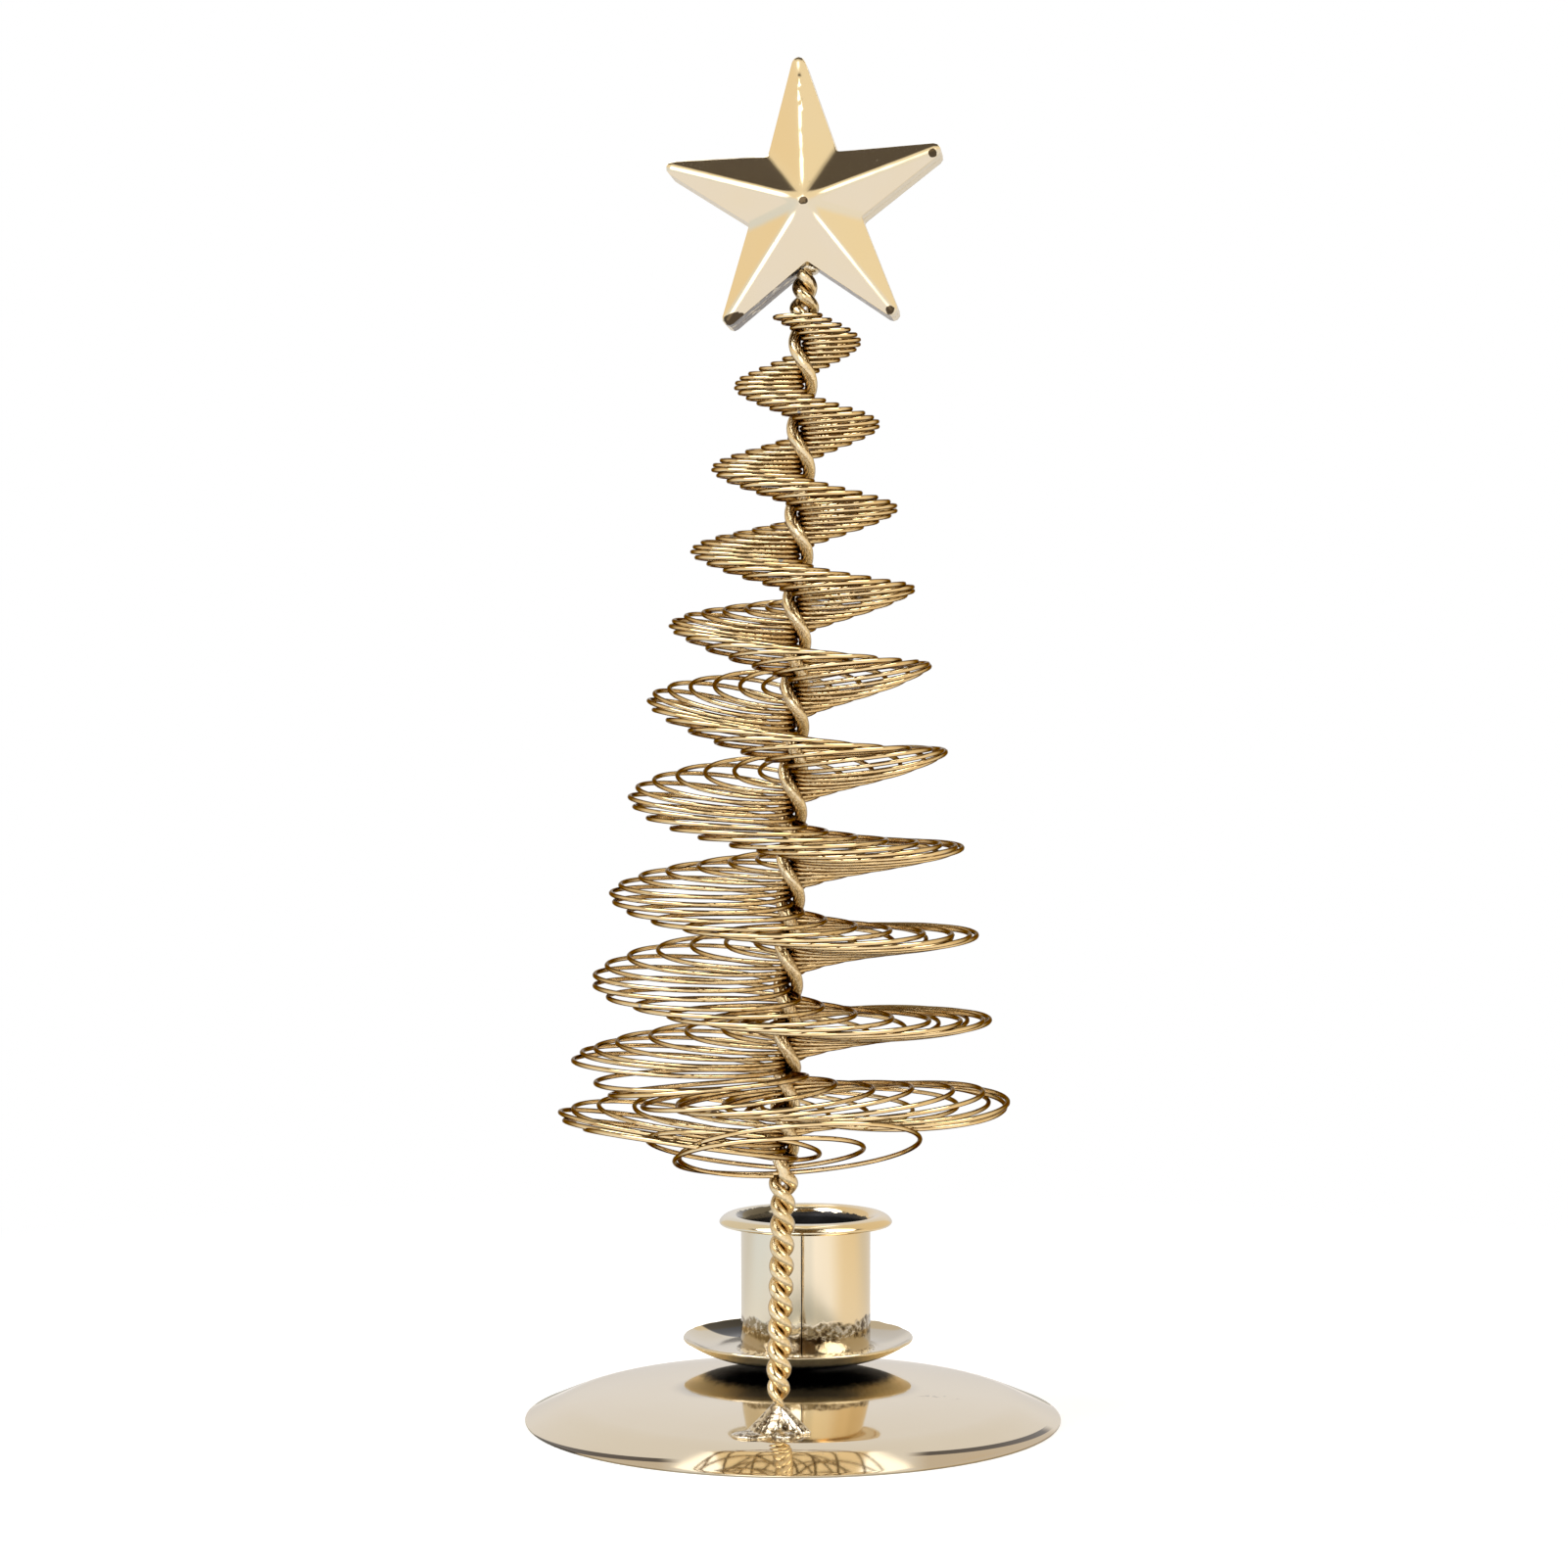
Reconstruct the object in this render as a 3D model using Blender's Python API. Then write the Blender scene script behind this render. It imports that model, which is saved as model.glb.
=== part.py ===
"""Wire christmas tree candle holder: a twisted stem carries a coiled wire tree and a star.

The base is a thin pressed dome. The stem stands near its front edge, and a drip tray with a
candle cup stands near its back edge. Units are metres, +Z is up, and the front is -Y.
"""
import math

import bmesh
import bpy
import numpy as np
from mathutils import Matrix, Vector

MM = 0.001

# Clearances between pieces that touch on the real object
SEAT_GAP = 0.3 * MM
CLAMP_GAP = 0.25 * MM

# Base plate, a pressed dome that stands on its rim
BASE_RADIUS = 50.0 * MM
BASE_EDGE = 0.8 * MM
BASE_RISE = 6.3 * MM
BASE_SHEET = 0.9 * MM
BASE_FOOT_WIDTH = 1.8 * MM
BASE_SHAPE = 3.4
BASE_STEPS = 8
BASE_STEP_EASE = 0.6
BASE_SEGMENTS = 56

# Candle side: drip tray and cup, placed from the base's centre
TRAY_X = 1.1 * MM
TRAY_SETBACK = 26.0 * MM
TRAY_SIDE_WIDTH = 7.1 * MM
TRAY_DEPTH = 2.4 * MM
TRAY_SHEET = 0.5 * MM
TRAY_DISH = 0.1 * MM
TRAY_SHAPE = 1.6
TRAY_STEPS = 4
TRAY_SEGMENTS = 48
TRAY_WELD_RADIUS = 3.0 * MM
TRAY_WELD_SETBACK = 5.0 * MM
TRAY_WELD_SEGMENTS = 20

CUP_OFFSET = 1.5 * MM
CUP_BORE_RADIUS = 12.2 * MM
CUP_WALL = 0.5 * MM
CUP_HEIGHT = 26.0 * MM
CUP_FLARE_RADIUS = 2.1 * MM
CUP_FLARE_SWEEP = math.radians(155.0)
CUP_BEAD_RADIUS = 0.5 * MM
CUP_SEAM_WIDTH = 0.3 * MM
CUP_SEAM_TURN = math.radians(-94.0)
CUP_FLARE_STEPS = 6
CUP_SEGMENTS = 40
CUP_WELD_SIZE = 0.9 * MM
CUP_WELD_HOLLOW = 0.3

# Stem: two thick wires twisted together, left handed, leaning a little to the right
STEM_X = -2.4 * MM
STEM_SETFORWARD = 31.5 * MM
STEM_LEAN = 0.0216
STEM_WIRE_RADIUS = 1.125 * MM
STEM_TWIST_LAY = 3.16
STEM_TWIST_PITCH = STEM_TWIST_LAY * 2 * STEM_WIRE_RADIUS
STEM_TREE_PITCH = 15.15 * MM
STEM_POINTS_PER_TURN = 10
STEM_HOLD = 1.5 * MM
STEM_EASE = 3.0 * MM
STEM_FOOT_HEIGHT = 2.2 * MM
STEM_FOOT_SPREAD = 5.0 * MM
STEM_FOOT_WAIST = 0.55
STEM_FOOT_LEVELS = (0.0, 0.35, 1.0)
STEM_FOOT_SEGMENTS = 16

# Tree: one thin wire coiled in rings, each ring clamped between the two stem wires.
# Its rings are spaced twice as widely as the real wire's.
TREE_BELOW_STEM_TOP = 6.6 * MM
TREE_BACK_BELOW_TOP = 8.6 * MM
TREE_BOTTOM = 52.2 * MM
TREE_TOP_DIAMETER = 8.8 * MM
TREE_BOTTOM_DIAMETER = 40.4 * MM
TREE_BULGE = 1.5 * MM
TREE_WIRE_RADIUS = 0.36 * MM
TREE_RING_PITCH = 1.66 * MM
TREE_RING_POINTS = 8
TREE_RING_LIFT = 0.035
SELF_GAP_SAMPLES = 4

# Star: two pressed shells, edge to edge, facing a little to the left
STAR_HEIGHT = 220.8 * MM
STAR_RADIUS = 25.5 * MM
STAR_NOTCH_RADIUS = 10.4 * MM
STAR_TIP_RADIUS = 1.2 * MM
STAR_TIP_STEPS = 4
STAR_EDGE_DEPTH = 3.5 * MM
STAR_RIDGE_RISE = 2.4 * MM
STAR_SHEET = 0.6 * MM
STAR_ROLL = math.radians(2.5)
STAR_YAW = math.radians(-7.0)
STAR_POINTS = 5
STAR_WELD_SHAPE = ((0.8, 0.0), (0.65, 0.25), (0.25, 0.6), (0.0, 0.7))
STAR_WELD_SEGMENTS = 12

PALE_GOLD = (0.80, 0.66, 0.42, 1.0)
WARM_GOLD = (0.78, 0.60, 0.34, 1.0)
DARK_BRAZE = (0.55, 0.46, 0.32, 1.0)


def clear_scene():
    """Remove whatever objects the open file holds."""
    for existing in list(bpy.data.objects):
        bpy.data.objects.remove(existing, do_unlink=True)


def metal(name, colour, roughness):
    """A polished or rough plated metal."""
    finish = bpy.data.materials.new(name)
    finish.use_nodes = True
    shader = finish.node_tree.nodes["Principled BSDF"]
    shader.inputs["Base Color"].default_value = colour
    shader.inputs["Metallic"].default_value = 1.0
    shader.inputs["Roughness"].default_value = roughness
    finish.diffuse_color = colour
    return finish


def place(name, mesh, finish, location=(0.0, 0.0, 0.0)):
    """Add a mesh to the scene as a named, smooth shaded piece."""
    mesh.materials.append(finish)
    mesh.shade_smooth()
    mesh.set_sharp_from_angle(angle=math.radians(35.0))
    piece = bpy.data.objects.new(name, mesh)
    piece.location = location
    bpy.context.scene.collection.objects.link(piece)
    return piece


def mesh_from(name, bm):
    """Turn a finished bmesh into a mesh whose faces all point out."""
    bmesh.ops.recalc_face_normals(bm, faces=bm.faces)
    mesh = bpy.data.meshes.new(name)
    bm.to_mesh(mesh)
    bm.free()
    return mesh


def turned_mesh(name, profile, segments):
    """Spin a closed profile of (radius, height) points once round the Z axis."""
    bm = bmesh.new()
    corners = [bm.verts.new((radius, 0.0, height)) for radius, height in profile]
    for start, end in zip(corners, corners[1:] + corners[:1]):
        both_on_axis = start.co.x == 0.0 and end.co.x == 0.0
        if not both_on_axis:
            bm.edges.new((start, end))
    bmesh.ops.spin(
        bm,
        geom=bm.verts[:] + bm.edges[:],
        cent=(0.0, 0.0, 0.0),
        axis=(0.0, 0.0, 1.0),
        angle=math.tau,
        steps=segments,
        use_merge=True,
    )
    bmesh.ops.remove_doubles(bm, verts=bm.verts, dist=0.001 * MM)
    return mesh_from(name, bm)


def dome_height(radius):
    """Height of the base's upper surface at a distance from the base's centre."""
    return BASE_EDGE + BASE_RISE * (1.0 - (radius / BASE_RADIUS) ** BASE_SHAPE)


def stem_axis(height):
    """Where the leaning stem's axis is at a height, measured from the base's centre."""
    return Vector((STEM_X + STEM_LEAN * height, -STEM_SETFORWARD, height))


def foot_top():
    """Height of the weld's flat top under the stem wires."""
    return dome_height(STEM_SETFORWARD) + SEAT_GAP + STEM_FOOT_HEIGHT


def edge_slope():
    """Angle below the horizontal at which the star's lower edges leave its lowest notch."""
    step = math.pi / STAR_POINTS
    across = STAR_RADIUS * math.sin(step)
    along = STAR_RADIUS * math.cos(step) - STAR_NOTCH_RADIUS
    return math.atan2(along, across) + STAR_ROLL


def star_turn():
    """How the star is turned: rolled on its face, then faced a little to the left."""
    return Matrix.Rotation(STAR_YAW, 3, "Z") @ Matrix.Rotation(-STAR_ROLL, 3, "Y")


def star_notch():
    """Place of the star's lowest notch, measured from the base's centre."""
    return stem_axis(STAR_HEIGHT) + star_turn() @ Vector((0.0, 0.0, -STAR_NOTCH_RADIUS))


def stem_top():
    """Height of the stem wires' upper ends, just under the star's sloping edges."""
    notch = star_notch()
    half_width = 2 * STEM_WIRE_RADIUS + abs(notch.x - stem_axis(notch.z).x)
    return notch.z - (half_width + 2 * SEAT_GAP) * math.tan(edge_slope())


def tree_top():
    """Height at which the first ring leaves the stem."""
    return stem_top() - TREE_BELOW_STEM_TOP


def twist_angle(height):
    """Direction of stem wire B from the stem's axis; it turns left going down."""
    middle = min(max(height, TREE_BOTTOM), tree_top())
    turns = (tree_top() - TREE_BACK_BELOW_TOP - middle) / STEM_TREE_PITCH
    turns += (middle - height) / STEM_TWIST_PITCH
    return math.pi / 2 + math.tau * turns


def strand_offset(height):
    """Distance of each stem wire from the stem's axis, wider where the thin wire is clamped."""
    closed = STEM_WIRE_RADIUS + SEAT_GAP / 2
    opened = STEM_WIRE_RADIUS + TREE_WIRE_RADIUS + CLAMP_GAP
    outside = max(TREE_BOTTOM - height, height - tree_top(), STEM_HOLD) - STEM_HOLD
    share = max(0.0, 1.0 - outside / STEM_EASE)
    return closed + (opened - closed) * share


def ring_diameter(height):
    """Diameter of the tree's ring at a height: a cone with a slight belly."""
    share = (tree_top() - height) / (tree_top() - TREE_BOTTOM)
    straight = TREE_TOP_DIAMETER + (TREE_BOTTOM_DIAMETER - TREE_TOP_DIAMETER) * share
    return straight + TREE_BULGE * 4.0 * share * (1.0 - share)


def direction(angle):
    """Unit vector in plan."""
    return Vector((math.cos(angle), math.sin(angle), 0.0))


def tree_points():
    """Route of the thin wire: each ring starts and ends between the stem wires."""
    rings = int((tree_top() - TREE_BOTTOM) / TREE_RING_PITCH)
    half_step = math.pi / TREE_RING_POINTS
    points = []
    for index in range(-1, rings * TREE_RING_POINTS + 1):
        ring, corner = divmod(index, TREE_RING_POINTS)
        start_height = tree_top() - TREE_RING_PITCH * ring
        first_angle = twist_angle(start_height)
        last_angle = twist_angle(start_height - TREE_RING_PITCH)
        share = (corner + 0.5) / TREE_RING_POINTS
        height = start_height - TREE_RING_PITCH * share
        eased = corner / (TREE_RING_POINTS - 1)
        facing = first_angle + (last_angle - first_angle) * eased
        radius = ring_diameter(height) / (1.0 + math.cos(half_step))
        centre = direction(facing) * radius * math.cos(half_step)
        plan = centre - direction(facing - math.tau * share) * radius
        lift = TREE_RING_LIFT * plan.length
        points.append(stem_axis(height) + plan + Vector((0.0, 0.0, lift)))
    return points


def least_self_gap(points, wire_radius, apart):
    """Least clear distance between stretches of one wire that are not neighbours."""
    route = np.array([tuple(point) for point in points])
    shares = np.linspace(0.0, 1.0, SELF_GAP_SAMPLES, endpoint=False)
    dense = [route[:-1] * (1.0 - share) + route[1:] * share for share in shares]
    samples = np.stack(dense, axis=1).reshape(-1, 3)
    least = np.inf
    for index in range(len(samples)):
        others = samples[index + apart * SELF_GAP_SAMPLES:]
        if len(others):
            distances = np.linalg.norm(others - samples[index], axis=1)
            least = min(least, float(distances.min()))
    return least - 2.0 * wire_radius


def wire(name, points, radius, finish, shift):
    """One unbroken round wire along a list of points, with closed ends."""
    curve = bpy.data.curves.new(name, "CURVE")
    curve.dimensions = "3D"
    curve.bevel_depth = radius
    curve.bevel_resolution = 1
    curve.use_fill_caps = True
    spline = curve.splines.new("POLY")
    spline.points.add(len(points) - 1)
    for knot, point in zip(spline.points, points):
        knot.co = (*point, 1.0)
    curve.materials.append(finish)
    strand = bpy.data.objects.new(name, curve)
    strand.location = shift
    bpy.context.scene.collection.objects.link(strand)
    return strand


def stem_points(side):
    """Route of one stem wire; side is +1 for wire B and -1 for wire A."""
    bottom = foot_top() + SEAT_GAP
    top = stem_top()
    straight = 2 * STEM_WIRE_RADIUS
    points = []
    height = bottom + straight
    while height < top - straight:
        angle = twist_angle(height)
        points.append(stem_axis(height) + direction(angle) * side * strand_offset(height))
        inside_tree = TREE_BOTTOM < height < tree_top()
        pitch = STEM_TREE_PITCH if inside_tree else STEM_TWIST_PITCH
        height += pitch / STEM_POINTS_PER_TURN
    lowest = points[0] - Vector((0.0, 0.0, straight))
    highest = points[-1] + Vector((0.0, 0.0, top - points[-1].z))
    return [lowest] + points + [highest]


def base_plate(centre):
    """Thin domed plate, hollow below, with a flat ring to stand on."""
    shares = [(step / BASE_STEPS) ** BASE_STEP_EASE for step in range(BASE_STEPS + 1)]
    radii = [BASE_RADIUS * share for share in shares]
    upper = [(radius, dome_height(radius)) for radius in radii]
    inner_radius = BASE_RADIUS - BASE_FOOT_WIDTH
    lower = [(radius, dome_height(radius) - BASE_SHEET) for radius in radii[:-1:2]]
    lower.append((inner_radius, dome_height(inner_radius) - BASE_SHEET))
    ring = [(BASE_RADIUS, 0.0), (inner_radius, 0.0)]
    profile = upper + ring + lower[::-1]
    mesh = turned_mesh("base_plate", profile, BASE_SEGMENTS)
    return place("base_plate", mesh, metal("base_plating", PALE_GOLD, 0.12), centre)


def tray_floor_radius():
    """Radius of the tray's flat floor, which takes the cup's foot and its weld."""
    return CUP_OFFSET + CUP_BORE_RADIUS + CUP_WALL + SEAT_GAP + CUP_WELD_SIZE


def tray_underside():
    """Height of the tray's flat underside, resting on the dome nearest the base's centre."""
    nearest = max(0.0, TRAY_SETBACK - tray_floor_radius())
    return dome_height(nearest) + SEAT_GAP


def tray_seat():
    """Height of the flat seat for the candle, in the middle of the tray."""
    return tray_underside() + TRAY_SHEET


def tray_floor():
    """Height of the tray's floor where the cup stands on it, a little above the seat."""
    return tray_seat() + TRAY_DISH


def tray_seat_radius():
    """Radius of the seat for the candle, which lies inside the cup."""
    return CUP_BORE_RADIUS - CUP_OFFSET - SEAT_GAP


def drip_tray(centre):
    """Shallow round dish with a flat seat in its middle and a curved side."""
    side = []
    for step in range(TRAY_STEPS + 1):
        share = step / TRAY_STEPS
        radius = tray_floor_radius() + TRAY_SIDE_WIDTH * share
        side.append((radius, TRAY_DEPTH * share ** TRAY_SHAPE))
    upper = [(0.0, tray_seat()), (tray_seat_radius(), tray_seat())]
    upper += [(radius, tray_floor() + rise) for radius, rise in side]
    lower = [(radius, tray_underside() + rise) for radius, rise in side]
    profile = upper + lower[::-1] + [(0.0, tray_underside())]
    mesh = turned_mesh("drip_tray", profile, TRAY_SEGMENTS)
    location = centre + Vector((TRAY_X, TRAY_SETBACK, 0.0))
    return place("drip_tray", mesh, metal("tray_plating", PALE_GOLD, 0.12), location)


def tray_weld(centre):
    """Puck of braze that fills the wedge between the dome and the back of the tray's floor."""
    bm = bmesh.new()
    bmesh.ops.create_cone(
        bm,
        cap_ends=True,
        segments=TRAY_WELD_SEGMENTS,
        radius1=TRAY_WELD_RADIUS,
        radius2=TRAY_WELD_RADIUS,
        depth=1.0,
    )
    place_on_base = Vector((TRAY_X, TRAY_SETBACK + TRAY_WELD_SETBACK, 0.0))
    top = tray_underside() - SEAT_GAP
    for vert in bm.verts:
        if vert.co.z > 0.0:
            vert.co.z = top
        else:
            from_centre = (vert.co.xy + place_on_base.xy).length
            vert.co.z = dome_height(from_centre) + SEAT_GAP
    mesh = mesh_from("tray_weld", bm)
    location = centre + place_on_base
    return place("tray_weld", mesh, metal("tray_braze", DARK_BRAZE, 0.5), location)


def cup_place(centre):
    """Where the cup's axis meets the surface that the base stands on."""
    return centre + Vector((TRAY_X + CUP_OFFSET, TRAY_SETBACK, 0.0))


def cup_profile():
    """Closed outline of the cup's wall, flared out at the top into a rounded brim."""
    foot = tray_floor() + SEAT_GAP
    middle_radius = CUP_BORE_RADIUS + CUP_WALL / 2
    centre_radius = middle_radius + CUP_FLARE_RADIUS
    centre_height = foot + CUP_HEIGHT - CUP_FLARE_RADIUS - CUP_WALL / 2
    inner = [(CUP_BORE_RADIUS, foot)]
    outer = [(CUP_BORE_RADIUS + CUP_WALL, foot)]
    for step in range(CUP_FLARE_STEPS + 1):
        share = step / CUP_FLARE_STEPS
        turn = math.pi - CUP_FLARE_SWEEP * share
        away = Vector((math.cos(turn), math.sin(turn)))
        thick = CUP_WALL / 2 + (CUP_BEAD_RADIUS - CUP_WALL / 2) * share ** 3
        for side, sign in ((inner, 1.0), (outer, -1.0)):
            reach = CUP_FLARE_RADIUS + sign * thick
            side.append((centre_radius + away.x * reach, centre_height + away.y * reach))
    turn = math.pi - CUP_FLARE_SWEEP
    bead_radius = centre_radius + CUP_FLARE_RADIUS * math.cos(turn)
    bead_height = centre_height + CUP_FLARE_RADIUS * math.sin(turn)
    bead = []
    for share in (1.0 / 3.0, 2.0 / 3.0):
        lean = turn - math.pi * share
        bead.append((
            bead_radius + CUP_BEAD_RADIUS * math.cos(lean),
            bead_height + CUP_BEAD_RADIUS * math.sin(lean),
        ))
    return inner + bead + outer[::-1]


def candle_cup(centre):
    """Cup rolled from sheet: a straight wall with a butt seam at the front and a flared brim."""
    mesh = turned_mesh("candle_cup", cup_profile(), CUP_SEGMENTS)
    cup = place("candle_cup", mesh, metal("cup_plating", PALE_GOLD, 0.1), cup_place(centre))

    foot = tray_floor() + SEAT_GAP
    straight_height = CUP_HEIGHT - CUP_FLARE_RADIUS - CUP_WALL
    bm = bmesh.new()
    bmesh.ops.create_cube(bm, size=1.0)
    size = (4 * CUP_WALL, CUP_SEAM_WIDTH, straight_height + 2 * SEAT_GAP)
    bmesh.ops.scale(bm, vec=size, verts=bm.verts)
    reach = Vector((CUP_BORE_RADIUS + CUP_WALL / 2, 0.0, foot + straight_height / 2 - SEAT_GAP))
    bmesh.ops.translate(bm, vec=reach, verts=bm.verts)
    turn = Matrix.Rotation(CUP_SEAM_TURN, 3, "Z")
    bmesh.ops.rotate(bm, cent=(0.0, 0.0, 0.0), matrix=turn, verts=bm.verts)
    seam = bpy.data.objects.new("seam_cutter", mesh_from("seam_cutter", bm))
    seam.location = cup_place(centre)
    seam.hide_render = True
    seam.display_type = "WIRE"
    bpy.context.scene.collection.objects.link(seam)
    cut = cup.modifiers.new("seam", "BOOLEAN")
    cut.operation = "DIFFERENCE"
    cut.object = seam
    return cup


def cup_weld(centre):
    """Fillet of braze round the cup's foot, on the tray's floor."""
    inner = CUP_BORE_RADIUS + CUP_WALL + SEAT_GAP
    foot = tray_floor() + SEAT_GAP
    profile = [
        (inner, foot),
        (inner + CUP_WELD_SIZE, foot),
        (inner + CUP_WELD_SIZE * CUP_WELD_HOLLOW, foot + CUP_WELD_SIZE * CUP_WELD_HOLLOW),
        (inner, foot + CUP_WELD_SIZE),
    ]
    mesh = turned_mesh("cup_weld", profile, CUP_SEGMENTS)
    return place("cup_weld", mesh, metal("cup_braze", DARK_BRAZE, 0.4), cup_place(centre))


def stem_foot(centre):
    """Weld under the stem, spread over the dome in four webs."""
    top = foot_top()
    neck = 2 * STEM_WIRE_RADIUS + SEAT_GAP / 2
    bm = bmesh.new()
    rings = []
    for share in STEM_FOOT_LEVELS:
        ring = []
        for step in range(STEM_FOOT_SEGMENTS):
            angle = math.tau * step / STEM_FOOT_SEGMENTS
            web = math.cos(2.0 * angle) ** 2
            spread = STEM_FOOT_SPREAD * (STEM_FOOT_WAIST + (1.0 - STEM_FOOT_WAIST) * web)
            radius = spread + (neck - spread) * share ** 0.5
            plan = direction(angle) * radius + Vector((stem_axis(top).x, -STEM_SETFORWARD, 0.0))
            floor = dome_height(plan.length) + SEAT_GAP
            plan.z = floor + (top - floor) * share
            ring.append(bm.verts.new(plan))
        rings.append(ring)
    for lower, upper in zip(rings, rings[1:]):
        for step in range(STEM_FOOT_SEGMENTS):
            following = (step + 1) % STEM_FOOT_SEGMENTS
            bm.faces.new((lower[step], lower[following], upper[following], upper[step]))
    bmesh.ops.contextual_create(bm, geom=rings[-1])
    floor_face = bmesh.ops.contextual_create(bm, geom=rings[0])["faces"]
    poked = bmesh.ops.poke(bm, faces=floor_face)["verts"]
    for vert in poked:
        vert.co.z = dome_height(vert.co.xy.length) + SEAT_GAP
    mesh = mesh_from("stem_foot", bm)
    return place("stem_foot", mesh, metal("foot_weld", PALE_GOLD, 0.2), centre)


def star_outline():
    """Points round the star, tip by tip: blunt tips with a notch between each two."""
    step = math.pi / STAR_POINTS
    tip_centre = STAR_RADIUS - STAR_TIP_RADIUS
    across = STAR_NOTCH_RADIUS * math.sin(step)
    along = tip_centre - STAR_NOTCH_RADIUS * math.cos(step)
    half_tip = math.atan2(across, along)
    half_tip -= math.asin(STAR_TIP_RADIUS / math.hypot(across, along))
    outline = []
    for point in range(STAR_POINTS):
        tip_angle = math.pi / 2 + 2.0 * step * point
        centre = Vector((math.cos(tip_angle), math.sin(tip_angle))) * tip_centre
        for part in range(STAR_TIP_STEPS + 1):
            swing = (2.0 * part / STAR_TIP_STEPS - 1.0) * (math.pi / 2 - half_tip)
            around = tip_angle + swing
            edge = Vector((math.cos(around), math.sin(around))) * STAR_TIP_RADIUS
            outline.append(centre + edge)
        notch_angle = tip_angle + step
        notch = Vector((math.cos(notch_angle), math.sin(notch_angle))) * STAR_NOTCH_RADIUS
        outline.append(notch)
    return outline


def star_skin(bm, outline, shrink, rim, depth, rise):
    """Side wall and ridged face of one shell; returns the loop of corners at its open rim."""
    back = [bm.verts.new((point.x * shrink, -rim, point.y * shrink)) for point in outline]
    front = [bm.verts.new((point.x * shrink, -depth, point.y * shrink)) for point in outline]
    apex = bm.verts.new((0.0, -depth - rise, 0.0))
    for index in range(len(outline)):
        following = (index + 1) % len(outline)
        bm.faces.new((back[index], back[following], front[following], front[index]))
        bm.faces.new((front[index], front[following], apex))
    return back


def star_shell(name, half_turn, stand):
    """One half of the hollow star, pressed from sheet and open towards the other half."""
    outline = star_outline()
    arm_end = outline[STAR_TIP_STEPS]
    notch = outline[STAR_TIP_STEPS + 1]
    to_edge = abs(arm_end.cross(notch)) / (arm_end - notch).length
    shrink = 1.0 - STAR_SHEET / to_edge
    rim = SEAT_GAP / 2
    bm = bmesh.new()
    outer = star_skin(bm, outline, 1.0, rim, STAR_EDGE_DEPTH, STAR_RIDGE_RISE)
    inner_depth = STAR_EDGE_DEPTH - STAR_SHEET
    inner = star_skin(bm, outline, shrink, rim, inner_depth, STAR_RIDGE_RISE * shrink)
    for index in range(len(outline)):
        following = (index + 1) % len(outline)
        bm.faces.new((outer[index], outer[following], inner[following], inner[index]))
    bmesh.ops.rotate(
        bm,
        cent=(0.0, 0.0, 0.0),
        matrix=Matrix.Rotation(half_turn, 3, "Z"),
        verts=bm.verts,
    )
    shell = place(name, mesh_from(name, bm), metal(name + "_plating", PALE_GOLD, 0.12))
    shell.parent = stand
    return shell


def star_weld(centre):
    """Bead of weld that fills the star's lowest notch above the stem."""
    notch = star_notch()
    bottom = stem_top() + SEAT_GAP
    room = notch.z - bottom
    shape = [(across * room, bottom + up * room) for across, up in STAR_WELD_SHAPE]
    profile = [(0.0, bottom)] + shape
    mesh = turned_mesh("star_weld", profile, STAR_WELD_SEGMENTS)
    location = centre + Vector((notch.x, notch.y, 0.0))
    return place("star_weld", mesh, metal("star_braze", PALE_GOLD, 0.2), location)


def main():
    clear_scene()
    route = tree_points()
    front_reach = -min(point.y for point in route) + TREE_WIRE_RADIUS
    centre = Vector((0.0, (front_reach - BASE_RADIUS) / 2, 0.0))

    base_plate(centre)
    drip_tray(centre)
    tray_weld(centre)
    candle_cup(centre)
    cup_weld(centre)
    stem_foot(centre)
    wire("stem_wire_a", stem_points(-1.0), STEM_WIRE_RADIUS, metal("stem_a", WARM_GOLD, 0.12), centre)
    wire("stem_wire_b", stem_points(1.0), STEM_WIRE_RADIUS, metal("stem_b", WARM_GOLD, 0.12), centre)
    wire("tree_wire", route, TREE_WIRE_RADIUS, metal("tree_plating", WARM_GOLD, 0.15), centre)

    star_stand = bpy.data.objects.new("star_stand", None)
    star_stand.location = centre + stem_axis(STAR_HEIGHT)
    star_stand.rotation_euler = star_turn().to_euler()
    bpy.context.scene.collection.objects.link(star_stand)
    star_shell("star_front", 0.0, star_stand)
    star_shell("star_back", math.pi, star_stand)
    star_weld(centre)

    gap = least_self_gap(route, TREE_WIRE_RADIUS, TREE_RING_POINTS // 2)
    print(f"tree wire: {len(route)} points, least gap to itself {gap / MM:.2f} mm")
    print(f"base centre at y = {centre.y / MM:.2f} mm")


main()
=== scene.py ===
"""Looks of the wire christmas tree candle holder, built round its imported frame.

Every piece of the frame is replaced by a finer one in the same place. Units are metres, +Z is up,
and the front is -Y.
"""

import math
import random

import bpy
from mathutils import Matrix, Vector, noise


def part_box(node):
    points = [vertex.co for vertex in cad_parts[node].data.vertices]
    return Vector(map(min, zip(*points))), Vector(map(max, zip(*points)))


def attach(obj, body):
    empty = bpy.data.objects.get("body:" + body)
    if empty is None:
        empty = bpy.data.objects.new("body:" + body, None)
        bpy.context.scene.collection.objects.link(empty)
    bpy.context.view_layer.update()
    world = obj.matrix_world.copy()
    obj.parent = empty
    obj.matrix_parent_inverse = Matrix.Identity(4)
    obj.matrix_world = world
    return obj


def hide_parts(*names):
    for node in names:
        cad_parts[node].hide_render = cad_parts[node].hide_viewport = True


MM = 0.001

# Camera, from the photograph's perspective
PHOTO_WIDTH = 1601
FOCAL_PIXELS = 3051
SENSOR_WIDTH = 36.0
CAMERA_PLACE = (-1.65 * MM, -550.3 * MM, 118.5 * MM)

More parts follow.
